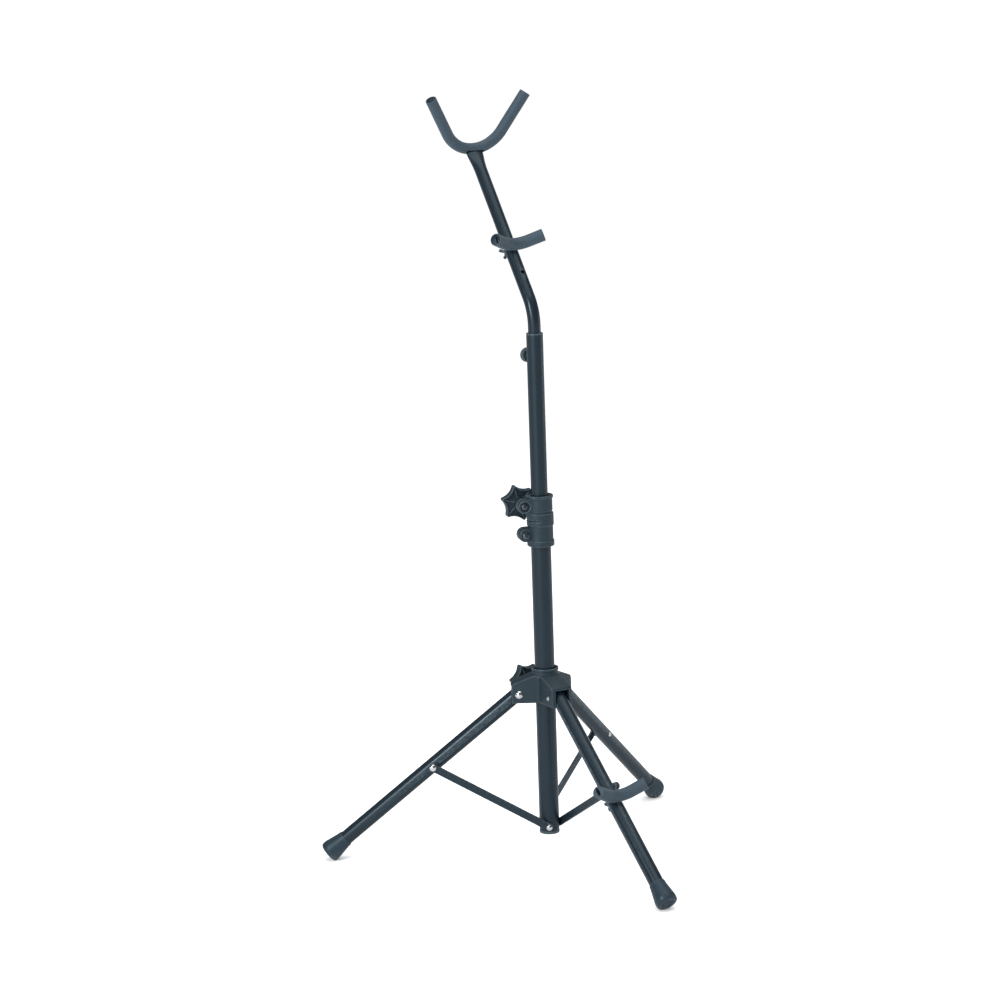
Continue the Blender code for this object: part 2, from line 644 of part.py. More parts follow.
def make_leg(name, azimuth, hub, floor):
    """One leg in its pivot's frame: +Z along the leg, +Y the pivot's axis, +X below the leg."""
    pivot = (PIVOT_RADIUS * cos(azimuth), PIVOT_RADIUS * sin(azimuth), 0)
    leg = frame(name + "_leg_pivot", hub, pivot, (0, pi / 2 + LEG_ANGLE, azimuth))
    tube_end = LEG_LENGTH - FOOT_FLOOR - GAP
    tube = ring(LEG_R - LEG_WALL, LEG_R, -LEG_STUB, tube_end, ROUND)
    tube = piece(name + "_leg_tube", tube, "powder_coat", leg)
    cuts = [hole(name + "_leg_pivot_hole", BOLT_R + GAP, -20 * MM, 20 * MM, leg, (0, 0, 0), ALONG_Y),
            hole(name + "_leg_rivet_hole", RIVET_R + GAP, -20 * MM, 20 * MM, leg,
                 (0, 0, STRUT_AT), ALONG_Y)]
    if name == "front":
        cuts.append(hole("front_leg_bolt_hole", CRADLE_BOLT_R + GAP, -20 * MM, 20 * MM, leg,
                         (0, 0, LOW_CRADLE_AT), (0, pi / 2, 0)))
    apply(tube, "DIFFERENCE", cuts)

    top = LEG_LENGTH - FOOT_LENGTH
    bore = LEG_R + GAP
    edge = FOOT_EDGE
    outline = [(bore, top), (bore, LEG_LENGTH - FOOT_FLOOR), (0.0, LEG_LENGTH - FOOT_FLOOR)]
    skin = [(0.0, LEG_LENGTH)]
    skin += [(FOOT_R - edge + edge * sin(pi / 2 * i / 3), LEG_LENGTH - edge + edge * cos(pi / 2 * i / 3))
             for i in range(4)]
    skin += [(FOOT_R, LEG_LENGTH - 10 * MM), (FOOT_R - 1.4 * MM, LEG_LENGTH - 16 * MM),
             (LEG_R + 2.2 * MM, LEG_LENGTH - 25 * MM), (LEG_R + 1.7 * MM, top + 0.8 * MM),
             (LEG_R + 1.1 * MM, top)]
    foot = piece(name + "_foot", turned(skin + outline, ROUND), "rubber", leg)
    apply(foot, "DIFFERENCE", [floor])

    spacer = ring(RIVET_R + GAP, 5.5 * MM, LEG_R + GAP, STRUT_SIDE - GAP, HOLE)
    piece(name + "_strut_spacer", spacer, "moulded_nylon", leg, (0, 0, STRUT_AT), ALONG_Y)
    bolt = rivet(RIVET_R, 5.2 * MM, 3.0 * MM, STRUT_SIDE + STRUT_THICK + GAP, -LEG_R - GAP,
                 3.4 * MM, 1.6 * MM)
    piece(name + "_strut_rivet", bolt, "chrome", leg, (0, 0, STRUT_AT), ALONG_Y)
    make_strut(name, leg)
    return leg


def make_strut(name, leg):
    """The flat strut from a leg to the foot of the column, in its pivot's frame."""
    radial = PIVOT_RADIUS + STRUT_AT * cos(LEG_ANGLE)
    rise = HUB_Z - STRUT_AT * sin(LEG_ANGLE) - STRUT_LOW_Z
    length = hypot(radial, rise)
    heading = atan2(-radial, -rise)
    strut = frame(name + "_strut_pivot", leg, (0, 0, STRUT_AT),
                  (0, heading - pi / 2 - LEG_ANGLE, 0))
    half = STRUT_WIDTH / 2
    outline = arc((0.0, 0.0), half, pi, 2 * pi, 8) + arc((0.0, length), half, 0.0, pi, 8)
    bar = plate(outline, STRUT_THICK, 0.9 * MM, 1)
    bar.transform(Matrix.Rotation(pi / 2, 4, "X"))
    middle = STRUT_SIDE + STRUT_THICK / 2
    bar = piece(name + "_strut", bar, "powder_coat", strut, (0, middle, 0))
    apply(bar, "DIFFERENCE", [
        hole(name + "_strut_top_hole", RIVET_R + GAP, 0, 30 * MM, strut, (0, 0, 0), ALONG_Y),
        hole(name + "_strut_low_hole", RIVET_R + GAP, 0, 30 * MM, strut, (0, 0, length), ALONG_Y)])
    low = rivet(RIVET_R, 4.4 * MM, 2.6 * MM, STRUT_SIDE + STRUT_THICK + GAP, COLUMN_R + 0.4 * MM)
    piece(name + "_column_rivet", low, "chrome", strut, (0, 0, length), ALONG_Y)


# ---------------------------------------------------------------- middle tube

def make_mid_tube(stand):
    """The 25 mm tube that slides in the column, with its bushes and the boss for the thumb screw."""
    slide = frame("mid_tube_slide", stand, (0, 0, MID_LOW))
    length = MID_TOP - MID_LOW
    tube = piece("mid_tube", ring(MID_R - MID_WALL, MID_R, 0.0, length, ROUND), "powder_coat", slide)
    thumb = THUMB_Z - MID_LOW
    apply(tube, "DIFFERENCE", [hole("thumb_hole", 3.3 * MM, 5 * MM, 20 * MM, slide,
                                    (0, 0, thumb), ALONG_Y)])
    inner = MID_R - MID_WALL
    column_inner = COLUMN_R - COLUMN_WALL
    guide = [(0.0, 12 * MM), (inner - GAP, 12 * MM), (inner - GAP, -GAP),
             (column_inner - GAP, -GAP), (column_inner - GAP, -9 * MM),
             (column_inner - 1.5 * MM, -10.5 * MM), (0.0, -10.5 * MM)]
    piece("mid_guide_bush", turned(guide, ROUND), "moulded_nylon", slide)
    rim = 1.6 * MM
    bush = [(MID_R - 0.3 * MM, length + rim), (MID_R, length + rim - 0.4 * MM), (MID_R, length + GAP),
            (inner - GAP, length + GAP), (inner - GAP, length - 18 * MM),
            (UPPER_R + GAP, length - 18 * MM), (UPPER_R + GAP, length + rim)]
    piece("mid_top_bush", turned(bush, ROUND), "moulded_nylon", slide)
    boss = ring(3.3 * MM, 6.5 * MM, MID_R + GAP, 17.5 * MM, HOLE)
    piece("thumb_screw_boss", boss, "powder_coat", slide, (0, 0, thumb), ALONG_Y)
    return slide


def make_thumb_screw(slide):
    """The round thumb screw that clamps the upper tube."""
    axis = frame("thumb_screw_axis", slide, (0, 18 * MM, THUMB_Z - MID_LOW), ALONG_Y)
    count = 24
    points = []
    for i in range(count):
        reach = THUMB_R * (1.0 if i % 2 else 0.955)
        points.append((reach * cos(2 * pi * i / count), reach * sin(2 * pi * i / count)))
    grip = plate(points, 9 * MM, 0.7 * MM, 1)
    grip.transform(Matrix.Translation((0, 0, 4.8 * MM)))
    grip = piece("thumb_knob", grip, "moulded_nylon", axis)
    apply(grip, "DIFFERENCE", [hole("thumb_knob_socket", 3.3 * MM, -MM, 6 * MM, axis)])
    tip = UPPER_R + GAP - 18 * MM
    piece("thumb_stud", cylinder(3.0 * MM, tip, 5.6 * MM, 16), "zinc_steel", axis)


# ---------------------------------------------------------------- upper tube

def upper_path():
    """The upper tube's centre line in YZ, from its low end to the yoke, with a flattening factor."""
    points = [(0.0, UPPER_LOW, 0.0), (0.0, THUMB_Z, 0.0), (0.0, BEND_Z, 0.0)]
    steps = 6
    for i in range(1, steps + 1):
        turn = LEAN * i / steps
        points.append((BEND_R * (1 - cos(turn)), BEND_Z + BEND_R * sin(turn), 0.0))
    y0, z0, _ = points[-1]
    end = UPPER_RUN - YOKE_ROD_R - GAP - 0.5 * MM
    for along, flat in ((MID_CRADLE_AT, 0.0), (end - 34 * MM, 0.0), (end - 26 * MM, 0.12),
                        (end - 17 * MM, 0.5), (end - 9 * MM, 0.88), (end, 1.0)):
        points.append((y0 + along * sin(LEAN), z0 + along * cos(LEAN), flat))
    return points


def flattened(radius, flat, wall):
    """Half width and half thickness of a tube squashed by a share of full flatness."""
    wide = radius + flat * 4.4 * MM
    thin = radius + flat * (4.2 * MM - UPPER_R)
    return max(wide - wall, 0.5 * MM), max(thin - wall, 0.5 * MM)


def make_upper_tube(slide):
    """The bent 19 mm tube, squashed where it is welded to the yoke, turning on its guide bush."""
    guide = frame("upper_slide", slide, (0, 0, UPPER_LOW - MID_LOW))
    inner = UPPER_R - UPPER_WALL
    mid_inner = MID_R - MID_WALL
    bush = [(0.0, 12 * MM), (inner - GAP, 12 * MM), (inner - GAP, -GAP), (mid_inner - GAP, -GAP),
            (mid_inner - GAP, -9 * MM), (mid_inner - 1.5 * MM, -10.5 * MM), (0.0, -10.5 * MM)]
    piece("upper_guide_bush", turned(bush, ROUND), "moulded_nylon", guide)

    swivel = frame("upper_swivel", guide)
    sides = ROUND
    nodes = upper_path()
    path = [Vector((0.0, y, z - UPPER_LOW)) for y, z, _ in nodes]

    def section(wall):
        def points(i):
            wide, thin = flattened(UPPER_R, nodes[i][2], wall)
            return [(wide * cos(2 * pi * k / sides), thin * sin(2 * pi * k / sides))
                    for k in range(sides)]
        return points

    skin = swept(path, section(0.0), Vector((1, 0, 0)))
    hollow = swept(path, section(UPPER_WALL), Vector((1, 0, 0)))[:-3]
    work = bmesh.new()
    outside = [[work.verts.new(p) for p in points] for points in skin]
    inside = [[work.verts.new(p) for p in points] for points in hollow]
    for loops in (outside, inside):
        for low, high in zip(loops, loops[1:]):
            for i in range(sides):
                j = (i + 1) % sides
                work.faces.new((low[i], low[j], high[j], high[i]))
    work.faces.new(outside[-1])
    work.faces.new(inside[-1])
    for i in range(sides):
        j = (i + 1) % sides
        work.faces.new((outside[0][i], outside[0][j], inside[0][j], inside[0][i]))
    bmesh.ops.recalc_face_normals(work, faces=work.faces)
    mesh = bpy.data.meshes.new("upper_tube")
    work.to_mesh(mesh)
    work.free()
    tube = piece("upper_tube", shade(mesh), "powder_coat", swivel)

    arc_y = BEND_R * (1 - cos(LEAN))
    arc_z = BEND_Z + BEND_R * sin(LEAN) - UPPER_LOW
    spine = frame("upper_spine", swivel, (0, arc_y, arc_z), (-LEAN, 0, 0))
    apply(tube, "DIFFERENCE", [hole("upper_bolt_hole", CRADLE_BOLT_R + GAP, -20 * MM, 20 * MM,
                                    spine, (0, 0, MID_CRADLE_AT), ALONG_Y),
                               hole("spare_bolt_hole", CRADLE_BOLT_R + GAP, -20 * MM, 0, spine,
                                    (0, 0, SPARE_HOLE_AT), ALONG_Y)])
    return swivel, spine


def make_yoke(spine):
    """The steel yoke rod and the foam sleeve over it."""
    yoke = frame("yoke", spine, (0, 0, UPPER_RUN), (LEAN + YOKE_TILT, 0, 0))
    path = u_path(YOKE_BEND_R, YOKE_SPLAY, YOKE_ARM, 6)
    rod = loft(swept(trimmed(path, YOKE_END), lambda i: circle(YOKE_ROD_R, 12), Vector((0, 1, 0))))
    piece("yoke_rod", rod, "powder_coat", yoke)
    foam = piece("yoke_foam", sleeve(path, YOKE_FOAM_R, YOKE_ROD_R + GAP), "foam", yoke)
    mouth = block((-14.6 * MM, -5.4 * MM, -15 * MM), (14.6 * MM, 5.4 * MM, 0))
    cut = piece("yoke_foam_mouth", mouth, None, spine, (0, 0, UPPER_RUN - 1 * MM))
    apply(foam, "DIFFERENCE", [cut])


# ---------------------------------------------------------------- cradles

def make_cradle(name, tube_radius, seat, tail, wing_turn):
    """A padded cradle bolted through a tube. In the seat's frame +Z is the bolt's axis, out of
    the tube, +Y is along the tube, and the origin is on the tube's centre line."""
    axis = frame(name + "_cradle_pivot", seat)
    skin_r = tube_radius + GAP
    centre = skin_r + CRADLE_OFF
    path = [p + Vector((0, 0, centre))
            for p in u_path(CRADLE_BEND_R, CRADLE_SPLAY, CRADLE_ARM, 4)]
    half_w = CRADLE_STRIP_WIDTH / 2
    half_t = CRADLE_STRIP_THICK / 2
    flat = [(-half_w, -half_t), (half_w, -half_t), (half_w, half_t), (-half_w, half_t)]
    strip = loft(swept(trimmed(path, CRADLE_END), lambda i: flat, Vector((0, 1, 0))))
    strip = piece(name + "_cradle_strip", strip, "zinc_steel", axis)
    bolt_hole = hole(name + "_strip_hole", CRADLE_BOLT_R + GAP, 0, 60 * MM, axis)
    apply(strip, "DIFFERENCE", [bolt_hole])

    foam = sleeve(path, CRADLE_FOAM_R, CRADLE_BORE_R)
    foam = piece(name + "_cradle_foam", foam, "foam", axis)
    mouth = hole(name + "_foam_mouth", CRADLE_SPACER_R + 0.5 * MM, 0, centre, axis, sides=FINE)
    below = block((-SEAT_HALF, -SEAT_HALF, 0), (SEAT_HALF, SEAT_HALF, skin_r))
    flat_seat = piece(name + "_foam_seat", below, None, axis)
    apply(foam, "DIFFERENCE", [mouth, flat_seat])

    under = centre - half_t - GAP
    spacer = ring(CRADLE_BOLT_R + GAP, CRADLE_SPACER_R, skin_r, under, HOLE)
    piece(name + "_cradle_spacer", spacer, "moulded_nylon", axis)
    bolt = rivet(CRADLE_BOLT_R, 3.9 * MM, 2.0 * MM, centre + half_t + GAP, -tube_radius - tail)
    piece(name + "_cradle_bolt", bolt, "zinc_steel", axis)

    nut = frame(name + "_wing_nut_axis", axis, (0, 0, -skin_r), (pi, 0, wing_turn))
    piece(name + "_wing_nut", wing_nut(CRADLE_BOLT_R + GAP), "moulded_nylon", nut)


def make_cradles(spine, front_leg):
    """The middle cradle on the upper tube, and the lower one on the front leg."""
    seat = frame("mid_cradle_seat", spine, (0, 0, MID_CRADLE_AT), ALONG_MINUS_Y)
    make_cradle("mid", UPPER_R, seat, MID_BOLT_TAIL, MID_WING_TURN)
    seat = frame("low_cradle_seat", front_leg, (0, 0, LOW_CRADLE_AT), (pi / 2, 0, -pi / 2))
    make_cradle("low", LEG_R, seat, LOW_BOLT_TAIL, LOW_WING_TURN)


def main():
    stand = frame("stand", None, (0, COLUMN_Y, 0))
    make_column(stand)
    clutch = make_clutch(stand)
    make_clutch_knob(clutch)
    hub = frame("hub_slide", stand, (0, 0, HUB_Z))
    make_hub(hub)
    make_hub_knob(hub)
    floor = piece("floor", block((-0.5, -0.5, -0.05), (0.5, 0.5, 0.0)), None, None)
    legs = {name: make_leg(name, azimuth, hub, floor) for name, azimuth in LEG_AZIMUTHS.items()}
    slide = make_mid_tube(stand)
    make_thumb_screw(slide)
    swivel, spine = make_upper_tube(slide)
    make_yoke(spine)
    make_cradles(spine, legs["front"])


main()
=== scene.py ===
"""The looks of a folding saxophone stand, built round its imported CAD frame.

Every visible piece is made again with its fine shape, on the joint axes and boxes that the frame
gives, and rides on the body that its CAD node belongs to. Metres, +Z up.
"""

import json
from math import acos, atan2, cos, pi, radians, sin, sqrt, tan

import bmesh
import bpy
import numpy as np
from mathutils import Matrix, Vector, noise

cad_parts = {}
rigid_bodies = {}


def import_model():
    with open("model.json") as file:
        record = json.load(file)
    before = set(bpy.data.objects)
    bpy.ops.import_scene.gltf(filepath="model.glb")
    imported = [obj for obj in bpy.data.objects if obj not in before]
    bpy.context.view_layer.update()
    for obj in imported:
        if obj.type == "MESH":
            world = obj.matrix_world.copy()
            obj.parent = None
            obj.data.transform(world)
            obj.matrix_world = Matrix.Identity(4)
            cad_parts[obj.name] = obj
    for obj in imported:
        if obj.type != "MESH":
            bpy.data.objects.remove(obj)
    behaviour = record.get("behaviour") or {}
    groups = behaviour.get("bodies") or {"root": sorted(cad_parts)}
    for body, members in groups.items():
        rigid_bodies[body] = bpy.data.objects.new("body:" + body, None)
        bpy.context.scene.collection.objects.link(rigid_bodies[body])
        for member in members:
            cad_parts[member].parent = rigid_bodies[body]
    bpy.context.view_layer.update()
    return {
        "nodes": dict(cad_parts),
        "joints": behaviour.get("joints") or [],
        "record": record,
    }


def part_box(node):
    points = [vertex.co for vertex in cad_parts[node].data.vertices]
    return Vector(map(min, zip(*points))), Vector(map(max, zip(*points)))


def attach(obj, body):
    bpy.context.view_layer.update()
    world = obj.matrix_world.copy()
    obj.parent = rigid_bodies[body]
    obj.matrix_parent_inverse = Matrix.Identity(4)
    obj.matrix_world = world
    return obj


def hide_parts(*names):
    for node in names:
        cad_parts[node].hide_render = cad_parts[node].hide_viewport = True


for old in list(bpy.data.objects):
    bpy.data.objects.remove(old, do_unlink=True)

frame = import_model()

MM = 0.001
GAP = 0.3 * MM                      # between pieces that touch
TUBE_SIDES = 72
SMALL_SIDES = 40

# Sizes of the real pieces
COLUMN_R = 15.0 * MM
COLUMN_WALL = 1.5 * MM
MID_R = 12.5 * MM
UPPER_R = 9.5 * MM
TUBE_WALL = 1.2 * MM
LEG_R = 11.0 * MM
LEG_LENGTH = 384.0 * MM             # from the hub pivot to the end of the foot
LEG_STUB = 5.2 * MM
FOOT_R = 16.4 * MM
FOOT_LENGTH = 36.0 * MM
FOOT_FLOOR = 8.0 * MM
STRUT_WIDTH = 11.7 * MM
STRUT_THICK = 3.6 * MM
STRUT_SIDE = COLUMN_R + 0.5 * MM
BEND_R = 70.0 * MM
SPARE_HOLE_AT = 38.0 * MM           # along the upper tube from the end of its bend
MID_CRADLE_AT = 82.0 * MM
YOKE_AT = 259.0 * MM
YOKE_ROD_R = 5.0 * MM
YOKE_FOAM_R = 8.5 * MM
YOKE_TILT = radians(15.5)
CRADLE_FOAM_R = 9.25 * MM
CRADLE_OFF = 5.5 * MM               # from the tube's skin to the strip's middle line
CRADLE_BOLT_R = 2.5 * MM
SEAT_HALF = 24.0 * MM               # of the flat that lets a cradle's foam turn on its tube
ARM_HALF = 17.0 * MM
ARM_REACH = 53.0 * MM
HUB_LOW = -13.5 * MM
HUB_EAVE = 16.5 * MM
HUB_TOP = 29.5 * MM
COLLAR_R = 20.8 * MM
COLLAR_TOP = 38.5 * MM
SLOT_ROOF = 12.8 * MM
HUB_KNOB_Z = 5.5 * MM
HUB_BOSS_END = 38.5 * MM
CLUTCH_R = 19.0 * MM
CLUTCH_RIM_R = 20.4 * MM
CLUTCH_BORE_R = 14.9 * MM           # round the bush
EAR_X = 24.8 * MM
EAR_R = 10.5 * MM
EAR_HALF = 10.5 * MM
SINK_R = 7.4 * MM
SINK_DEPTH = 3.4 * MM
STAR_R = 27.0 * MM
STAR_VALLEY_R = 20.8 * MM
STAR_LOBES = 6
STAR_NECK = 12.0 * MM
STAR_THICK = 13.0 * MM
CLUTCH_KNOB_PHASE = radians(14.6)
HUB_KNOB_PHASE = radians(6.2)
THUMB_R = 11.0 * MM
RIVET_R = 2.5 * MM
BOLT_R = 3.0 * MM
FINE_VOXEL = 0.45 * MM              # of the skin wrapped round small moulded pieces
COOL_TINT = (0.74, 0.9, 1.0, 1.0)   # the dark surfaces mirror a little bluer than they are lit

X = Vector((1, 0, 0))
Y = Vector((0, 1, 0))
Z = Vector((0, 0, 1))
ALONG_Y = Matrix.Rotation(-pi / 2, 4, "X")       # turns a piece's +Z to its parent's +Y
ALONG_MINUS_Y = Matrix.Rotation(pi / 2, 4, "X")


# ------------------------ places, from the frame

RECORD = frame["record"]
BODY_OF = {node: body for body, nodes in RECORD["behaviour"]["bodies"].items() for node in nodes}
SLOT_OF = {part["node"]: part["material_slot"] for part in RECORD["subparts"]}
JOINTS = {joint["name"]: joint for joint in frame["joints"]}
LEGS = ("front", "right", "left")


def spot(joint):
    return Vector(JOINTS[joint]["pos_m"])


def axis(joint):
    return Vector(JOINTS[joint]["axis"]).normalized()


def basis(origin, along, near_y):
    """A frame with +Z along one direction and +Y as near as it can be to another."""
    z = along.normalized()
    x = near_y.cross(z).normalized()
    turn = Matrix((x, z.cross(x), z)).transposed()
    return Matrix.Translation(origin) @ turn.to_4x4()


def shift(x, y, z):
    return Matrix.Translation((x, y, z))


def middle(node):
    low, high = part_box(node)
    return (low + high) / 2


COLUMN = shift(spot("upper_tube_swivel").x, spot("upper_tube_swivel").y, 0)
AXIS = COLUMN.translation
HUB = shift(AXIS.x, AXIS.y, spot("front_leg_fold").z)
LEG = {}
STRUT = {}
STRUT_LENGTH = {}
for leg in LEGS:
    pivot, knee = spot(leg + "_leg_fold"), spot(leg + "_strut_fold")
    LEG[leg] = basis(pivot, knee - pivot, axis(leg + "_leg_fold"))
    ankle = Vector((AXIS.x, AXIS.y, middle(leg + "_column_rivet").z))
    STRUT[leg] = basis(knee, ankle - knee, axis(leg + "_leg_fold"))
    STRUT_LENGTH[leg] = (ankle - knee).length
STRUT_AT = (spot("front_strut_fold") - spot("front_leg_fold")).length
AZIMUTH = {leg: atan2(*reversed((spot(leg + "_leg_fold") - AXIS).xy)) for leg in LEGS}

MID_OUT = axis("mid_cradle_turn")                # out of the upper tube, square to it
SPINE_UP = MID_OUT.cross(X)
MID_SEAT = basis(spot("mid_cradle_turn") - MID_OUT * UPPER_R, MID_OUT, SPINE_UP)
SPINE = basis(MID_SEAT.translation - SPINE_UP * MID_CRADLE_AT, SPINE_UP, -MID_OUT)
LEAN = acos(SPINE_UP.z)
LOW_OUT = axis("low_cradle_turn")
LOW_SEAT = basis(spot("low_cradle_turn") - LOW_OUT * LEG_R, LOW_OUT, LEG["front"].to_3x3() @ Z)
YOKE = SPINE @ shift(0, 0, YOKE_AT) @ Matrix.Rotation(LEAN + YOKE_TILT, 4, "X")
HUB_KNOB = shift(AXIS.x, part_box("hub_knob")[0].y, spot("hub_knob_turn").z) @ ALONG_Y
CLUTCH = basis(AXIS, Z, axis("clutch_knob_turn"))
CLUTCH_KNOB = (Matrix.Translation(spot("clutch_knob_turn") + axis("clutch_knob_turn") * GAP)
               @ CLUTCH.to_3x3().to_4x4() @ ALONG_Y)
THUMB_SCREW = shift(AXIS.x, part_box("thumb_knob")[0].y - GAP, spot("thumb_screw_turn").z) @ ALONG_Y


# ------------------------ materials

def linear(red, green, blue):
    """A colour given as 0-255 display values."""
    return tuple(((c / 255 + 0.055) / 1.055) ** 2.4 for c in (red, green, blue)) + (1.0,)


def node(tree, kind, sockets=None, **settings):
    """A shader node; a socket's value is a number, a colour or another node's output."""
    made = tree.nodes.new("ShaderNode" + kind)
    for key, value in settings.items():
        setattr(made, key, value)
    for key, value in (sockets or {}).items():
        if isinstance(value, bpy.types.NodeSocket):
            tree.links.new(value, made.inputs[key])
        else:
            made.inputs[key].default_value = value
    return made


def clouds(tree, where, scale, detail=2.0, rough=0.5):
    sockets = {"Vector": where, "Scale": scale, "Detail": detail, "Roughness": rough}
    return node(tree, "TexNoise", sockets).outputs["Fac"]


def ramp(tree, value, low, high, from_low=0.0, from_high=1.0):
    sockets = {"Value": value, "From Min": from_low, "From Max": from_high,
               "To Min": low, "To Max": high}
    return node(tree, "MapRange", sockets, clamp=True).outputs["Result"]


def blended(tree, share, first, second):
    made = node(tree, "Mix", {"Factor": share}, data_type="RGBA")
    for index, value in ((6, first), (7, second)):
        if isinstance(value, bpy.types.NodeSocket):
            tree.links.new(value, made.inputs[index])
        else:
            made.inputs[index].default_value = value
    return made.outputs[2]


def where_marked(tree, name, share):
    """A share that shows only as far as the mesh carries a mark."""
    strength = node(tree, "Attribute", attribute_name=name).outputs["Fac"]
    return node(tree, "Math", {0: strength, 1: share}, operation="MULTIPLY").outputs[0]


def begin(name, metallic=0.0, specular=0.5):
    """A new material, its tree and its shader, and the piece's own coordinates."""
    made = bpy.data.materials.new(name)
    made.use_nodes = True
    tree = made.node_tree
    shader = tree.nodes["Principled BSDF"]
    shader.inputs["Metallic"].default_value = metallic
    shader.inputs["Specular IOR Level"].default_value = specular
    if not metallic:
        shader.inputs["Specular Tint"].default_value = COOL_TINT
    where = node(tree, "TexCoord").outputs["Object"]
    return made, tree, shader, where


def finish_material(tree, shader, colour, roughness, heights):
    """Join colour and roughness to the shader, and stack bumps given as (height, depth)."""
    tree.links.new(colour, shader.inputs["Base Color"])
    tree.links.new(roughness, shader.inputs["Roughness"])
    normal = None
    for height, depth in heights:
        sockets = {"Height": height, "Distance": depth, "Strength": 1.0}
        if normal is not None:
            sockets["Normal"] = normal
        normal = node(tree, "Bump", sockets).outputs["Normal"]
    tree.links.new(normal, shader.inputs["Normal"])


def powder_coat():
    """Satin black paint baked on steel: fine orange peel, dust, and thin paint on the edges."""
    made, tree, shader, where = begin("satin_powder_coat", specular=0.42)
    slow = clouds(tree, where, 28.0, 3.0)
    peel = clouds(tree, where, 1100.0, 2.0)
    grit = clouds(tree, where, 3200.0, 1.0)
    colour = blended(tree, slow, linear(15, 26, 34), linear(21, 32, 41))
    dust = ramp(tree, grit, 0.0, 0.3, 0.62, 0.80)
    colour = blended(tree, dust, colour, linear(60, 74, 82))
    patches = ramp(tree, clouds(tree, where, 260.0), 0.1, 0.8, 0.4, 0.7)
    worn = where_marked(tree, "edge", patches)
    colour = blended(tree, worn, colour, linear(84, 98, 106))
    patchy = clouds(tree, where, 90.0, 4.0)
    roughness = ramp(tree, patchy, 0.26, 0.34, 0.3, 0.7)
    finish_material(tree, shader, colour, roughness, [(peel, 0.003 * MM), (grit, 0.001 * MM)])
    return made


def moulded_nylon():
    """Glass-filled nylon from a spark-eroded mould: fine grain, flow clouds, pale rubbed edges."""
    made, tree, shader, where = begin("moulded_nylon_grain", specular=0.5)
    flow = clouds(tree, where, 45.0, 5.0, 0.6)
    cells = node(tree, "TexVoronoi", {"Vector": where, "Scale": 1500.0}).outputs["Distance"]
    grain = clouds(tree, where, 2600.0, 2.0)
    colour = blended(tree, flow, linear(21, 33, 41), linear(29, 42, 50))
    specks = ramp(tree, grain, 0.0, 0.3, 0.6, 0.8)
    colour = blended(tree, specks, colour, linear(86, 97, 103))
    patches = ramp(tree, clouds(tree, where, 180.0), 0.25, 0.75, 0.35, 0.7)
    rubbed = where_marked(tree, "edge", patches)
    colour = blended(tree, rubbed, colour, linear(92, 108, 117))
    roughness = ramp(tree, clouds(tree, where, 130.0, 3.0), 0.42, 0.58, 0.3, 0.7)
    finish_material(tree, shader, colour, roughness, [(cells, 0.02 * MM), (grain, 0.010 * MM)])
    return made


def foam():
    """Closed-cell rubber foam: a skin of small cells, pores darkened with painted shade, a soft mottle
    and a dull shine.
    """
    made, tree, shader, where = begin("closed_cell_foam", specular=0.4)
    cells = node(tree, "TexVoronoi", {"Vector": where, "Scale": 1050.0}).outputs["Distance"]
    pores = node(tree, "TexVoronoi", {"Vector": where, "Scale": 420.0}).outputs["Distance"]
    mottle = clouds(tree, where, 120.0, 4.0, 0.6)
    colour = blended(tree, mottle, linear(37, 50, 60), linear(50, 64, 75))
    # painted shade: each pore is darkened towards its middle, where the dents bump below sinks the
    # surface
    colour = blended(tree, ramp(tree, pores, 0.75, 0.0, 0.04, 0.22), colour, linear(24, 31, 37))
    colour = blended(tree, ramp(tree, cells, 0.0, 0.25, 0.35, 0.8), colour, linear(72, 88, 99))
    roughness = ramp(tree, mottle, 0.52, 0.66, 0.3, 0.7)
    shader.inputs["Sheen Weight"].default_value = 0.06
    shader.inputs["Sheen Roughness"].default_value = 0.5
    dents = ramp(tree, pores, 0.0, 1.0, 0.0, 0.25)
    finish_material(tree, shader, colour, roughness,
                    [(mottle, 0.15 * MM), (dents, 0.06 * MM), (cells, 0.03 * MM)])
    return made


def rubber():
    """Moulded rubber boots: softly shining, speckled, with pale scuffs and dust near the floor."""
    made, tree, shader, where = begin("moulded_rubber", specular=0.35)
    slow = clouds(tree, where, 70.0, 4.0)
    grain = clouds(tree, where, 1900.0, 3.0)
    colour = blended(tree, slow, linear(26, 39, 48), linear(35, 49, 59))
    scuffs = clouds(tree, where, 380.0, 5.0, 0.7)
    dusty = where_marked(tree, "scuff", ramp(tree, scuffs, 0.0, 0.7, 0.42, 0.68))
    colour = blended(tree, dusty, colour, linear(118, 124, 126))
    rubbed = where_marked(tree, "edge", ramp(tree, scuffs, 0.1, 0.5, 0.4, 0.7))
    colour = blended(tree, rubbed, colour, linear(84, 95, 102))
    roughness = ramp(tree, slow, 0.36, 0.50, 0.3, 0.7)
    finish_material(tree, shader, colour, roughness, [(grain, 0.012 * MM), (scuffs, 0.02 * MM)])
    return made


def chrome():
    """Bright rivets: polished, with hairline scratches and a faint haze."""
    made, tree, shader, where = begin("bright_rivets", metallic=1.0)
    haze = clouds(tree, where, 320.0, 4.0)
    hair = node(tree, "TexWave", {"Vector": where, "Scale": 420.0, "Distortion": 7.0, "Detail": 3.0})
    hair = hair.outputs["Fac"]
    colour = blended(tree, haze, linear(214, 217, 219), linear(238, 239, 240))
    roughness = ramp(tree, haze, 0.07, 0.2, 0.35, 0.7)
    finish_material(tree, shader, colour, roughness, [(hair, 0.0015 * MM), (haze, 0.02 * MM)])
    return made


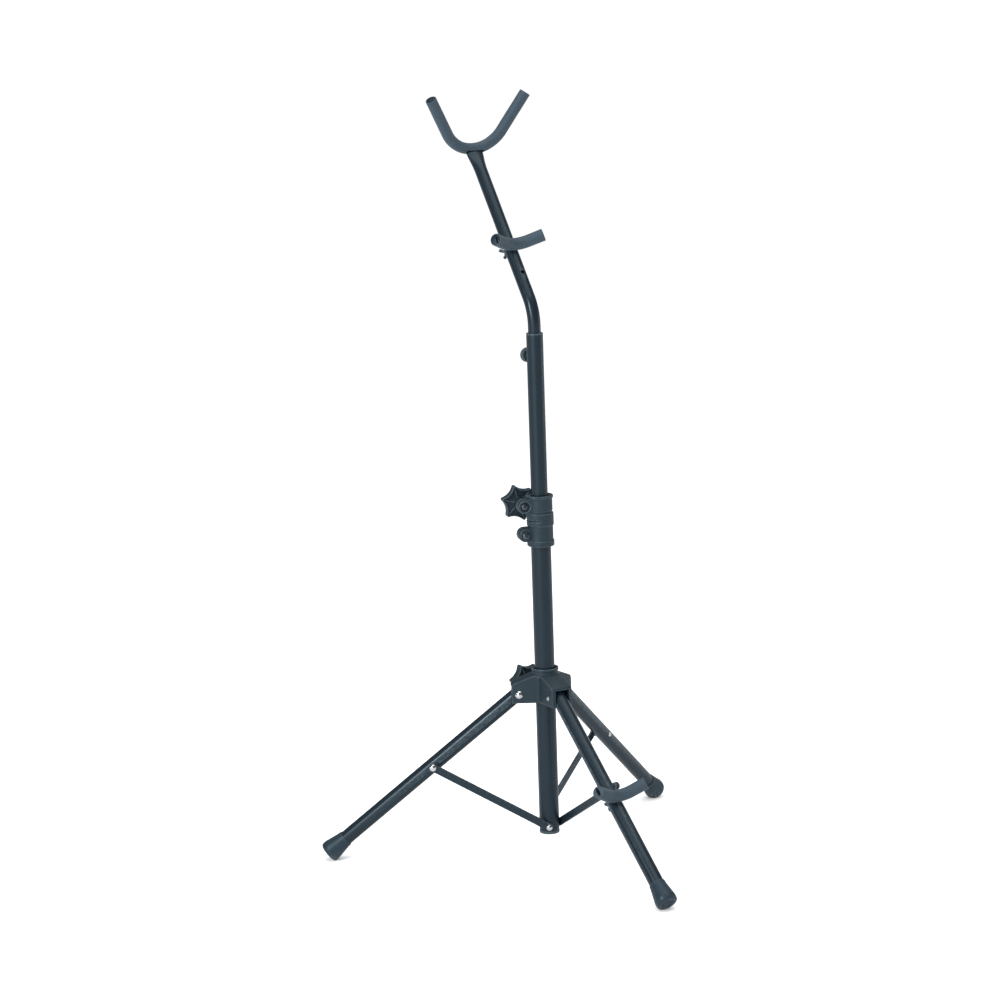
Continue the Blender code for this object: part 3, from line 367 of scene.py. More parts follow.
def zinc_steel():
    """Dark zinc on screws and strips: faintly spangled, with paler stains."""
    made, tree, shader, where = begin("zinc_plated_steel", metallic=1.0)
    spangle = node(tree, "TexVoronoi", {"Vector": where, "Scale": 700.0}).outputs["Color"]
    tone = node(tree, "RGBToBW", {"Color": spangle}).outputs["Val"]
    fine = clouds(tree, where, 1800.0, 4.0)
    colour = blended(tree, tone, linear(74, 82, 89), linear(104, 112, 118))
    stain = ramp(tree, clouds(tree, where, 150.0, 4.0), 0.0, 0.4, 0.5, 0.75)
    colour = blended(tree, stain, colour, linear(128, 134, 138))
    roughness = ramp(tree, fine, 0.26, 0.46, 0.3, 0.7)
    finish_material(tree, shader, colour, roughness, [(fine, 0.012 * MM)])
    return made


MATERIAL = {"powder_coat": powder_coat(), "moulded_nylon": moulded_nylon(), "foam": foam(),
            "rubber": rubber(), "chrome": chrome(), "zinc_steel": zinc_steel()}


# ------------------------ mesh tools

def rounded(outline, steps=5):
    """The outline with its corners filleted; a corner is (x, y) or (x, y, radius)."""
    points = []
    for i, corner in enumerate(outline):
        here = Vector(corner[:2])
        if len(corner) < 3:
            points.append(tuple(here))
            continue
        before = (Vector(outline[i - 1][:2]) - here).normalized()
        after = (Vector(outline[(i + 1) % len(outline)][:2]) - here).normalized()
        half = before.angle(after) / 2
        centre = here + (before + after).normalized() * corner[2] / sin(half)
        start = here + before * corner[2] / tan(half) - centre
        end = here + after * corner[2] / tan(half) - centre
        first = atan2(start.y, start.x)
        sweep = (atan2(end.y, end.x) - first + pi) % (2 * pi) - pi
        for k in range(steps + 1):
            turn = first + sweep * k / steps
            points.append((centre.x + corner[2] * cos(turn), centre.y + corner[2] * sin(turn)))
    return points


def skin(rings, loop=False, caps=True):
    """Faces over rings of points. A ring of one point is a tip; a loop joins last to first."""
    work = bmesh.new()
    loops = [[work.verts.new(point) for point in ring] for ring in rings]
    pairs = list(zip(loops, loops[1:]))
    if loop:
        pairs.append((loops[-1], loops[0]))
    for low, high in pairs:
        count = max(len(low), len(high))
        for i in range(count):
            j = (i + 1) % count
            corners = (low[i % len(low)], low[j % len(low)], high[j % len(high)], high[i % len(high)])
            face = list(dict.fromkeys(corners))
            if len(face) > 2:
                work.faces.new(face)
    if caps and not loop:
        for end in (loops[0], loops[-1]):
            if len(end) > 2:
                work.faces.new(end)
    return as_mesh(work)


def as_mesh(work, sharp=38.0):
    bmesh.ops.recalc_face_normals(work, faces=work.faces)
    mesh = bpy.data.meshes.new("fine")
    work.to_mesh(mesh)
    work.free()
    mesh.shade_smooth()
    mesh.set_sharp_from_angle(angle=radians(sharp))
    return mesh


def close_ended(points, loop):
    """The same points, with more put in beside both ends of each long straight."""
    margin = 1.2 * MM
    close = []
    after = points[1:] + (points[:1] if loop else [])
    for a, b in zip(points, after):
        close.append(a)
        start, end = Vector(a), Vector(b)
        length = (end - start).length
        if length > 3 * margin:
            step = (end - start) * margin / length
            close += [tuple(start + step), tuple(end - step)]
    return close if loop else close + [points[-1]]


def circle(radius, sides):
    return [(radius * cos(2 * pi * i / sides), radius * sin(2 * pi * i / sides)) for i in range(sides)]


def turned(outline, sides=SMALL_SIDES):
    """A turned solid about Z from (radius, z, fillet) corners; off the axis it is a closed ring."""
    rings = []
    for radius, z in close_ended(rounded(outline), outline[0][0] > 0):
        if radius < 0.001 * MM:
            rings.append([(0, 0, z)])
        else:
            rings.append([(x, y, z) for x, y in circle(radius, sides)])
    return skin(rings, loop=outline[0][0] > 0, caps=False)


def tube(inner, outer, low, high, sides=TUBE_SIDES, edge=0.35 * MM):
    """A cut tube whose four edges are broken."""
    return turned([(outer, high, edge), (outer, low, edge), (inner, low, edge), (inner, high, edge)],
                  sides)


def bar(radius, low, high, sides=SMALL_SIDES):
    return turned([(0, high), (radius, high), (radius, low), (0, low)], sides)


def slab(outline, low, high, edge=0.0, steps=3, inset=0.0):
    """A flat outline raised from low to high, with its rims rounded. An inset keeps an edge's
    wear off the flat faces."""
    work = bmesh.new()
    base = work.faces.new([work.verts.new((x, y, low)) for x, y in outline])
    grown = bmesh.ops.extrude_face_region(work, geom=[base])["geom"]
    upper = [item for item in grown if isinstance(item, bmesh.types.BMVert)]
    bmesh.ops.translate(work, verts=upper, vec=(0, 0, high - low))
    bmesh.ops.recalc_face_normals(work, faces=work.faces)
    if edge:
        flat = 0.01 * MM
        rims = [e for e in work.edges if abs(e.verts[0].co.z - e.verts[1].co.z) < flat]
        bmesh.ops.bevel(work, geom=rims, offset=edge, segments=steps, profile=0.5, affect="EDGES")
    if inset:
        flats = [face for face in work.faces if len(face.verts) > 4]
        bmesh.ops.inset_individual(work, faces=flats, thickness=inset, use_even_offset=True)
    return as_mesh(work)


def disc(outline, low, high, edge, steps=5):
    """A disc with quarter-round rims. outline(inset) gives its points, drawn in by an inset."""
    turns = [pi / 2 * i / steps for i in range(steps + 1)]
    rims = [(edge * (1 - sin(t)), low + edge * (1 - cos(t))) for t in turns]
    rims += [(inset, high + low - z) for inset, z in reversed(rims)]
    return skin([[(x, y, z) for x, y in outline(inset)] for inset, z in rims])


def box(low, high):
    corners = [(low[0], low[1]), (high[0], low[1]), (high[0], high[1]), (low[0], high[1])]
    return slab(corners, low[2], high[2])


def placed(name, data, matrix=None):
    made = bpy.data.objects.new(name, data)
    bpy.context.scene.collection.objects.link(made)
    if matrix is not None:
        made.matrix_world = matrix
    return made


def cut(mesh, matrix=None):
    return ("DIFFERENCE", mesh, matrix)


def joined(mesh, matrix=None):
    return ("UNION", mesh, matrix)


def within(mesh):
    return ("INTERSECT", mesh, None)


def bored(radius, matrix):
    """A hole for a pin that goes right through."""
    return cut(bar(radius + GAP, -20 * MM, 20 * MM), matrix)


def carved(base, steps, voxel=0.0, passes=4, share=0.35):
    """Booleans on a base, each given as (kind, mesh, matrix). A voxel size then wraps the result
    in one skin whose edges are all softly rounded, as they leave a mould: it is smoothed in a
    number of passes and thinned to a share of its faces."""
    made = placed("temporary", base)
    others = []
    for kind, mesh, matrix in steps:
        others.append(placed("temporary", mesh, matrix))
        step = made.modifiers.new("step", "BOOLEAN")
        step.operation = kind
        step.solver = "EXACT"
        step.object = others[-1]
    if voxel:
        wrap = made.modifiers.new("wrap", "REMESH")
        wrap.mode = "VOXEL"
        wrap.voxel_size = voxel
        soften = made.modifiers.new("soften", "SMOOTH")
        soften.factor = 0.5
        soften.iterations = passes
        thin = made.modifiers.new("thin", "DECIMATE")
        thin.ratio = share
    bpy.context.view_layer.update()
    graph = bpy.context.evaluated_depsgraph_get()
    mesh = bpy.data.meshes.new_from_object(made.evaluated_get(graph))
    for other in [made] + others:
        bpy.data.objects.remove(other, do_unlink=True)
    mesh.shade_smooth()
    mesh.set_sharp_from_angle(angle=radians(50 if voxel else 38))
    return mesh


def mark(mesh, name, values):
    made = mesh.attributes.new(name, "FLOAT", "POINT")
    made.data.foreach_set("value", np.asarray(values, np.float32))


def mark_edges(mesh):
    """Store how tightly the surface turns outward at each point, for wear on its edges."""
    count = len(mesh.vertices)
    places = np.empty(count * 3, np.float32)
    normals = np.empty(count * 3, np.float32)
    ends = np.empty(len(mesh.edges) * 2, np.int32)
    mesh.vertices.foreach_get("co", places)
    mesh.vertex_normals.foreach_get("vector", normals)
    mesh.edges.foreach_get("vertices", ends)
    places, normals, ends = places.reshape(-1, 3), normals.reshape(-1, 3), ends.reshape(-1, 2)
    step = places[ends[:, 1]] - places[ends[:, 0]]
    turn = normals[ends[:, 1]] - normals[ends[:, 0]]
    bend = (step * turn).sum(1) / np.maximum((step * step).sum(1), 1e-12)
    tight = np.zeros(count)
    np.maximum.at(tight, ends[:, 0], bend)
    np.maximum.at(tight, ends[:, 1], bend)
    gentle, sharp = 250.0, 1400.0       # bends per metre: radii of 4 mm and of 0.7 mm
    mark(mesh, "edge", np.clip((tight - gentle) / (sharp - gentle), 0, 1))


def show(cad_node, mesh, matrix):
    """A fine piece in its place, standing for a CAD node and riding on that node's body."""
    mark_edges(mesh)
    made = placed(cad_node + "_fine", mesh, matrix)
    made.data.materials.append(MATERIAL[SLOT_OF[cad_node]])
    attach(made, BODY_OF[cad_node])
    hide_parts(cad_node)
    return made


def even_shading(made):
    """Flat stretches of a moulded piece keep flat shading beside its rounded edges."""
    even = made.modifiers.new("even", "WEIGHTED_NORMAL")
    even.keep_sharp = True


# ------------------------ fasteners

def dome(radius, height, base, steps=8):
    """The corners of a domed head on z = base, from its top out to its rim."""
    ball = (radius ** 2 + height ** 2) / (2 * height)
    spread = acos((ball - height) / ball)
    turns = [spread * i / steps for i in range(steps)]
    return [(ball * sin(t), base + height - ball + ball * cos(t)) for t in turns]


def rivet(shank, head, height, base, end, tail=0.0, tail_height=0.0):
    """A domed rivet along Z. A tail is an eyelet: rolled over, with a dimple in the middle."""
    lip = 0.5 * MM
    outline = dome(head, height - lip, base + lip) + [(head, base + lip), (head, base, 0.15 * MM)]
    outline.append((shank, base))
    if tail:
        low = end - tail_height
        outline += [(shank, end), (tail, end, 0.3 * MM), (tail * 0.92, low, 0.6 * MM),
                    (tail * 0.45, low, 0.4 * MM), (tail * 0.3, low + 1.2 * MM), (0, low + 1.2 * MM)]
    else:
        outline += [(shank, end), (0, end)]
    return turned(outline)


def threaded(radius, low, high, pitch=0.9 * MM):
    """The outer corners of a thread, from high to low."""
    corners = []
    depth = 0.45 * MM
    for i in range(int((high - low) / pitch)):
        top = high - i * pitch
        corners += [(radius, top - 0.15 * pitch), (radius - depth, top - 0.5 * pitch),
                    (radius, top - 0.85 * pitch)]
    return corners


def screw(shank, head, height, base, thread_top, end):
    """A pan-head screw along Z with a cross recess and a thread on its lower part."""
    outline = dome(head, height * 0.45, base + height * 0.55)
    outline += [(head, base + height * 0.5), (head, base, 0.3 * MM), (shank, base)]
    outline += threaded(shank, end + 0.6 * MM, thread_top)
    outline += [(shank - 0.6 * MM, end), (0, end)]
    arm, half = head * 0.52, head * 0.13
    low, high = base + height * 0.42, base + height + MM
    cuts = [cut(box((-arm, -half, low), (arm, half, high))),
            cut(box((-half, -arm, low), (half, arm, high)))]
    return carved(turned(outline), cuts)


def hexagon(bore, across, height):
    """A nut on z = 0, its corners turned off."""
    outline = [(across * cos(pi / 3 * i + pi / 6), across * sin(pi / 3 * i + pi / 6)) for i in range(6)]
    flat = across * cos(pi / 6)
    lens = turned([(0, height), (flat, height), (across * 1.02, height - 0.9 * MM),
                   (across * 1.02, 0.6 * MM), (flat, 0), (0, 0)], TUBE_SIDES)
    hole = bar(bore, -MM, height + MM)
    return carved(slab(outline, 0, height), [within(lens), cut(hole)])


def star_outline(phase, inset=0.0, count=216):
    """Round scallops between six blunted points, drawn in by a wall's thickness."""
    half = pi / STAR_LOBES
    tip = STAR_R + 2.8 * MM             # before its point is blunted
    away = (tip ** 2 - STAR_VALLEY_R ** 2) / (2 * (tip * cos(half) - STAR_VALLEY_R))
    scallop = away - STAR_VALLEY_R
    reaches = []
    for i in range(count):
        off = (2 * pi * i / count) % (2 * half) - half
        reaches.append(away * cos(off) - sqrt(max(scallop ** 2 - (away * sin(off)) ** 2, 0.0)))
    window = range(-3, 4)               # blunts each point over a few degrees
    soft = [sum(reaches[(i + k) % count] for k in window) / len(window) for i in range(count)]
    turns = [2 * pi * i / count + phase for i in range(count)]
    return [((r - inset) * cos(t), (r - inset) * sin(t)) for r, t in zip(soft, turns)]


def star_knob(bore, phase):
    """A six-lobed hand knob: a hollow, ribbed back round its boss, and a dished cap in front."""
    top = STAR_NECK + STAR_THICK
    back = STAR_NECK + 3.2 * MM
    wall = 2.2 * MM
    boss = turned([(0, STAR_NECK + 9 * MM), (9.0 * MM, STAR_NECK + 9 * MM), (8.5 * MM, 0.0, 0.8 * MM),
                   (0, 0)])
    cap = turned([(0, top + MM), (8.4 * MM, top + MM), (7.6 * MM, top - 0.8 * MM, 0.5 * MM),
                  (0, top - 0.5 * MM)])
    steps = [cut(slab(star_outline(phase, wall), STAR_NECK - MM, back))]
    reach = STAR_R - 3 * MM
    rib = box((-reach, -0.7 * MM, STAR_NECK + 1.4 * MM), (reach, 0.7 * MM, back + MM))
    for i in range(STAR_LOBES // 2):
        steps.append(joined(rib, Matrix.Rotation(phase + pi * i / 3, 4, "Z")))
    steps += [joined(boss), cut(cap), cut(bar(bore, -MM, top - 4 * MM))]
    body = disc(lambda inset: star_outline(phase, inset), STAR_NECK, top, 1.4 * MM)
    return carved(body, steps, FINE_VOXEL, 2, 0.3)


def wing_nut(bore):
    """A moulded wing nut on z = 0, its wings along X."""
    wing = [(5.0 * MM, 0.4 * MM), (12.4 * MM, 2.8 * MM, 1.5 * MM), (14.2 * MM, 5.2 * MM, 2.0 * MM),
            (12.8 * MM, 8.9 * MM, 1.6 * MM), (10.2 * MM, 8.2 * MM, 1.2 * MM),
            (5.0 * MM, 4.6 * MM, 2.0 * MM)]
    outline = wing + [(-corner[0],) + corner[1:] for corner in reversed(wing)]
    wings = slab(rounded(outline), -1.3 * MM, 1.3 * MM, 0.7 * MM)
    body = turned([(0, 6.2 * MM), (4.2 * MM, 6.2 * MM, 0.8 * MM), (5.2 * MM, 0, 0.5 * MM), (0, 0)])
    upright = Matrix.Rotation(pi / 2, 4, "X")
    wings.transform(upright)
    steps = [joined(body), cut(bar(bore, -MM, 9 * MM))]
    return carved(wings, steps, 0.32 * MM, 3, 0.35)


# ------------------------ column and clutch

def make_column():
    low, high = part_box("column_tube")
    show("column_tube", tube(COLUMN_R - COLUMN_WALL, COLUMN_R, low.z, high.z), COLUMN)
    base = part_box("column_bottom_plug")[0].z
    spigot, flange = COLUMN_R - COLUMN_WALL - GAP, COLUMN_R + 0.2 * MM
    outline = [(0, low.z + 14 * MM), (spigot, low.z + 14 * MM), (spigot, low.z - GAP),
               (flange, low.z - GAP, 0.2 * MM), (flange, base, 1.1 * MM), (6 * MM, base, 0.4 * MM),
               (5.4 * MM, base + 0.9 * MM), (0, base + 0.9 * MM)]
    show("column_bottom_plug", turned(outline, TUBE_SIDES), COLUMN)


def clutch_outline(low, high):
    """The clutch body from its top down: two rims, a middle band and a stepped bore."""
    band_r, groove_r = CLUTCH_R + 1.3 * MM, CLUTCH_R - 1.1 * MM
    band_top, band_low = high - 26.9 * MM, high - 45.3 * MM
    low_bore, lip_bore = COLUMN_R + GAP, MID_R + 0.8 * MM
    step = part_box("column_tube")[1].z + GAP
    return [(CLUTCH_RIM_R, high, 1.3 * MM), (CLUTCH_RIM_R, high - 3.6 * MM, 0.8 * MM),
            (CLUTCH_R, high - 4.9 * MM, 0.8 * MM), (CLUTCH_R, band_top + 3.4 * MM, 0.5 * MM),
            (groove_r, band_top + 2.6 * MM, 0.3 * MM), (groove_r, band_top + 0.9 * MM, 0.3 * MM),
            (band_r, band_top, 0.8 * MM), (band_r, band_low, 0.7 * MM),
            (CLUTCH_R, band_low - 0.9 * MM, 0.5 * MM), (CLUTCH_R, low + 9.6 * MM, 0.8 * MM),
            (CLUTCH_RIM_R, low + 8.6 * MM, 0.8 * MM), (CLUTCH_RIM_R, low, 1.5 * MM),
            (low_bore, low, 0.6 * MM), (low_bore, step), (CLUTCH_BORE_R, step),
            (CLUTCH_BORE_R, high - 3 * MM), (lip_bore, high - 3 * MM), (lip_bore, high, 0.6 * MM)]


def ear(edge):
    """A round clamp ear towards -X, in the plane of its bolt's axis."""
    root = -15.6 * MM
    outline = [(root, -EAR_R)]
    outline += [(-EAR_X - EAR_R * sin(pi * i / 24), -EAR_R * cos(pi * i / 24)) for i in range(25)]
    outline.append((root, EAR_R))
    return slab(outline, -EAR_HALF, EAR_HALF, edge, 4)


def sink_outline():
    """The flared recess that the clamp bolt's head sits in."""
    floor = EAR_HALF - SINK_DEPTH
    return [(0, 20 * MM), (SINK_R + 0.8 * MM, 20 * MM), (SINK_R + 0.5 * MM, EAR_HALF),
            (SINK_R - 0.2 * MM, EAR_HALF - MM), (SINK_R - 0.2 * MM, floor), (0, floor)]


def make_clutch():
    low, high = (corner.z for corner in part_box("clutch_body"))
    clamp_z, fixing_z = middle("clamp_bolt").z, middle("fixing_bolt").z
    reach = -EAR_X - EAR_R - 5 * MM
    slit_half, cut_half = 1.4 * MM, 0.8 * MM
    cut_z, cut_end = low + 39.5 * MM, -4.6 * MM
    steps = [joined(ear(1.3 * MM), shift(0, 0, clamp_z) @ ALONG_MINUS_Y),
             joined(ear(3.4 * MM), shift(0, 0, fixing_z) @ ALONG_MINUS_Y),
             cut(turned(sink_outline()), shift(-EAR_X, 0, clamp_z) @ ALONG_MINUS_Y),
             cut(box((reach, -slit_half, low - MM), (-10 * MM, slit_half, high + MM))),
             cut(box((reach, -25 * MM, cut_z - cut_half), (cut_end, 25 * MM, cut_z + cut_half)))]
    for z in (clamp_z, fixing_z):
        steps.append(bored(BOLT_R, shift(-EAR_X, 0, z) @ ALONG_Y))
    body = carved(turned(clutch_outline(low, high), 96), steps, FINE_VOXEL, 3, 0.28)
    even_shading(show("clutch_body", body, CLUTCH))

    bush_low, bush_high = (corner.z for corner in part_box("clutch_bush"))
    bush = tube(MID_R + GAP, CLUTCH_BORE_R - GAP, bush_low, bush_high)
    split = box((-20 * MM, -0.6 * MM, bush_low - MM), (0, 0.6 * MM, bush_high + MM))
    show("clutch_bush", carved(bush, [cut(split)]), CLUTCH)

    face = EAR_HALF + GAP
    clamp = screw(BOLT_R, 5.0 * MM, 2.8 * MM, face - SINK_DEPTH, -EAR_HALF, -EAR_HALF - 19 * MM)
    fixing = screw(BOLT_R, 5.4 * MM, 3.0 * MM, face, -EAR_HALF, -EAR_HALF - 6 * MM)
    show("clamp_bolt", clamp, CLUTCH @ shift(-EAR_X, 0, clamp_z) @ ALONG_MINUS_Y)
    show("fixing_bolt", fixing, CLUTCH @ shift(-EAR_X, 0, fixing_z) @ ALONG_MINUS_Y)
    nut = hexagon(BOLT_R + GAP, 5.8 * MM, 5 * MM)
    show("fixing_nut", nut, CLUTCH @ shift(-EAR_X, face, fixing_z) @ ALONG_Y)
    even_shading(show("clutch_knob", star_knob(5.6 * MM, CLUTCH_KNOB_PHASE), CLUTCH_KNOB))


# ------------------------ hub

def hub_plan():
    """The hub from above: three square-ended arms that meet in rounded crotches."""
    corners = []
    reach = ARM_HALF / sin(pi / 3)
    for azimuth in sorted(a % (2 * pi) for a in AZIMUTH.values()):
        arm = [(reach * cos(pi / 3), -ARM_HALF, 3.0 * MM), (ARM_REACH, -ARM_HALF, 2.6 * MM),
               (ARM_REACH, ARM_HALF, 2.6 * MM)]
        for x, y, fillet in arm:
            corners.append((x * cos(azimuth) - y * sin(azimuth),
                            x * sin(azimuth) + y * cos(azimuth), fillet))
    return rounded(corners)


def make_hub():
    tall = 60 * MM
    eave = ARM_REACH + 0.4 * MM
    roof = turned([(0, HUB_TOP), (21.5 * MM, HUB_TOP, 3 * MM),
                   (eave - MM, HUB_EAVE - 0.4 * MM, 5.0 * MM), (eave, HUB_LOW - 9 * MM),
                   (0, HUB_LOW - 9 * MM)], 120)
    neck = COLLAR_R - 0.9 * MM
    collar = turned([(0, COLLAR_TOP), (COLLAR_R, COLLAR_TOP, 0.9 * MM),
                     (COLLAR_R, COLLAR_TOP - 3.4 * MM, 0.6 * MM),
                     (neck, COLLAR_TOP - 4.4 * MM, 0.6 * MM),
                     (neck, HUB_TOP + 0.6 * MM, 1.2 * MM), (COLLAR_R + 1.4 * MM, HUB_TOP - 1.6 * MM),
                     (COLLAR_R + 1.4 * MM, HUB_TOP - 4 * MM), (0, HUB_TOP - 4 * MM)], TUBE_SIDES)
    boss = turned([(0, HUB_BOSS_END), (9 * MM, HUB_BOSS_END, 0.8 * MM), (9.3 * MM, 10 * MM),
                   (0, 10 * MM)])
    outward = shift(0, 0, HUB_KNOB_Z) @ ALONG_Y
    mouth = turned([(0, COLLAR_TOP + MM), (COLUMN_R + 3.2 * MM, COLLAR_TOP + MM),
                    (COLUMN_R + 1.6 * MM, COLLAR_TOP - 1.6 * MM),
                    (COLUMN_R + 0.4 * MM, COLLAR_TOP - 2 * MM),
                    (COLUMN_R + 0.4 * MM, HUB_LOW - 5 * MM), (0, HUB_LOW - 5 * MM)], TUBE_SIDES)
    main = carved(slab(hub_plan(), HUB_LOW, HUB_LOW + tall, 1.2 * MM), [within(roof)],
                  0.8 * MM, 14, 0.6)
    steps = [joined(collar), joined(boss, outward), cut(mouth),
             cut(bar(4.3 * MM, 10 * MM, 50 * MM), outward)]
    inside = (spot("front_leg_fold") - AXIS).xy.length
    slot_half, slot_back = LEG_R + 0.5 * MM, 17.0 * MM
    for leg in LEGS:
        turn = Matrix.Rotation(AZIMUTH[leg], 4, "Z")
        opening = box((inside - slot_back, -slot_half, HUB_LOW - 5 * MM),
                      (ARM_REACH + 5 * MM, slot_half, SLOT_ROOF))
        steps.append(cut(opening, turn))
        pin = bar(BOLT_R + GAP, -30 * MM, 30 * MM)
        steps.append(cut(pin, turn @ shift(inside, 0, 0) @ ALONG_Y))
    body = carved(main, steps, 0.6 * MM, 3, 0.25)
    even_shading(show("hub", body, HUB))

    for leg in LEGS:
        pin = rivet(BOLT_R, 5.9 * MM, 3.4 * MM, ARM_HALF + GAP, -ARM_HALF - GAP, 3.6 * MM, 2 * MM)
        pivot = spot(leg + "_leg_fold")
        show(leg + "_hub_rivet", pin, basis(pivot, axis(leg + "_leg_fold"), Z))

    even_shading(show("hub_knob", star_knob(4.3 * MM, HUB_KNOB_PHASE), HUB_KNOB))
    tip = COLUMN_R + GAP - HUB_BOSS_END
    stud = [(0, 19 * MM), (4 * MM, 19 * MM)] + threaded(4 * MM, tip + MM, 12 * MM, 1.25 * MM)
    show("hub_knob_stud", turned(stud + [(3.2 * MM, tip), (0, tip)]), HUB_KNOB)


# ------------------------ legs and struts

def boot():
    """A rubber boot that widens evenly down the leg, with a dished sole."""
    end, top = LEG_LENGTH, LEG_LENGTH - FOOT_LENGTH
    bore, lip = LEG_R + GAP, LEG_R + 1.3 * MM
    return turned([
        (0, end - 1.1 * MM), (8.6 * MM, end - 1.1 * MM, 0.4 * MM), (9.6 * MM, end, 0.5 * MM),
        (FOOT_R - 0.4 * MM, end, 3.4 * MM), (FOOT_R, end - 8.0 * MM, 6.0 * MM),
        (lip + 0.3 * MM, top + 5.0 * MM, 4.0 * MM), (lip, top, 0.7 * MM), (bore, top, 0.3 * MM),
        (bore, end - FOOT_FLOOR), (0, end - FOOT_FLOOR)], TUBE_SIDES)


def stand_on_floor(mesh, matrix):
    """Press the boot's lowest edge flat on z = 0, and mark how near the floor each point is."""
    back = matrix.inverted()
    near = []
    for vertex in mesh.vertices:
        place = matrix @ vertex.co
        near.append(max(0.0, 1.0 - place.z / (14 * MM)))
        if place.z < 0:
            place.z = 0
            vertex.co = back @ place
    mark(mesh, "scuff", near)


def make_leg(leg):
    matrix = LEG[leg]
    steps = [bored(BOLT_R, ALONG_Y), bored(RIVET_R, shift(0, 0, STRUT_AT) @ ALONG_Y)]
    if leg == "front":
        along = (LOW_SEAT.translation - matrix.translation).length
        turn = Matrix.Rotation(pi / 2, 4, "Y")
        steps.append(bored(CRADLE_BOLT_R, shift(0, 0, along) @ turn))
    pipe = tube(LEG_R - TUBE_WALL, LEG_R, -LEG_STUB, LEG_LENGTH - FOOT_FLOOR - GAP)
    show(leg + "_leg_tube", carved(pipe, steps), matrix)
    foot = boot()
    stand_on_floor(foot, matrix)
    show(leg + "_foot", foot, matrix)

    knee = matrix @ shift(0, 0, STRUT_AT) @ ALONG_Y
    show(leg + "_strut_spacer", tube(RIVET_R + GAP, 5.5 * MM, LEG_R + GAP, STRUT_SIDE - GAP), knee)
    head = STRUT_SIDE + STRUT_THICK + GAP
    pin = rivet(RIVET_R, 5.2 * MM, 3.0 * MM, head, -LEG_R - GAP, 3.4 * MM, 1.6 * MM)
    show(leg + "_strut_rivet", pin, knee)
    low = rivet(RIVET_R, 4.4 * MM, 2.6 * MM, head, COLUMN_R + 0.4 * MM)
    show(leg + "_column_rivet", low, STRUT[leg] @ shift(0, 0, STRUT_LENGTH[leg]) @ ALONG_Y)

    length = STRUT_LENGTH[leg]
    half = STRUT_WIDTH / 2
    turns = [pi * i / 16 for i in range(17)]
    outline = [(half * cos(pi + t), half * sin(pi + t)) for t in turns]
    outline += [(half * cos(t), length + half * sin(t)) for t in turns]
    flat = slab(outline, -STRUT_THICK / 2, STRUT_THICK / 2, 0.9 * MM, 4, 0.7 * MM)
    flat.transform(shift(0, STRUT_SIDE + STRUT_THICK / 2, 0) @ Matrix.Rotation(pi / 2, 4, "X"))
    holes = [cut(bar(RIVET_R + GAP, 0, 30 * MM), shift(0, 0, z) @ ALONG_Y) for z in (0, length)]
    even_shading(show(leg + "_strut", carved(flat, holes), STRUT[leg]))


# ------------------------ middle and upper tubes

def make_mid_tube():
    low, high = (corner.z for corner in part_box("mid_tube"))
    inner = MID_R - TUBE_WALL
    thumb = spot("thumb_screw_turn").z
    drilled = [cut(bar(3.3 * MM, 5 * MM, 20 * MM), shift(0, 0, thumb) @ ALONG_Y)]
    show("mid_tube", carved(tube(inner, MID_R, low, high), drilled), COLUMN)
    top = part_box("mid_top_bush")[1].z
    bush = [(MID_R, top, 0.6 * MM), (MID_R, high + GAP, 0.2 * MM), (inner - GAP, high + GAP),
            (inner - GAP, high - 18 * MM), (UPPER_R + GAP, high - 18 * MM),
            (UPPER_R + GAP, top, 0.5 * MM)]
    show("mid_top_bush", turned(bush, TUBE_SIDES), COLUMN)
    boss = turned([(6.5 * MM, 17.5 * MM, 0.5 * MM), (6.5 * MM, MID_R + 1.4 * MM, 0.8 * MM),
                   (7.6 * MM, MID_R + GAP, 0.3 * MM), (3.3 * MM, MID_R + GAP),
                   (3.3 * MM, 17.5 * MM, 0.4 * MM)])
    show("thumb_screw_boss", boss, COLUMN @ shift(0, 0, thumb) @ ALONG_Y)

    flutes, per_flute, depth = 26, 8, 0.35 * MM
    count = flutes * per_flute

    def fluted(inset):
        turns = [2 * pi * i / per_flute for i in range(count)]
        reaches = [THUMB_R - inset - depth * (1 - cos(turn)) for turn in turns]
        return [(r * x, r * y) for r, (x, y) in zip(reaches, circle(1.0, count))]

    grip = disc(fluted, 0.3 * MM, 9.3 * MM, 1.2 * MM)
    dish = turned([(0, 11 * MM), (8.6 * MM, 11 * MM), (7.4 * MM, 8.7 * MM, 0.4 * MM), (0, 8.9 * MM)])
    grip = carved(grip, [cut(dish), cut(bar(3.3 * MM, -MM, 6 * MM))])
    even_shading(show("thumb_knob", grip, THUMB_SCREW))
    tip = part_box("thumb_stud")[0].y - THUMB_SCREW.translation.y
    stud = [(0, 5.6 * MM), (3 * MM, 5.6 * MM)] + threaded(3 * MM, tip + MM, 0)
    show("thumb_stud", turned(stud + [(2.4 * MM, tip), (0, tip)]), THUMB_SCREW)


def rings_along(path, side, section):
    """Rings round a flat path: section(i) gives (u, v) pairs, u along side and v across it."""
    rings = []
    last = len(path) - 1
    for i, point in enumerate(path):
        ahead = (path[min(i + 1, last)] - path[max(i - 1, 0)]).normalized()
        across = side.cross(ahead).normalized()
        rings.append([point + side * u + across * v for u, v in section(i)])
    return rings


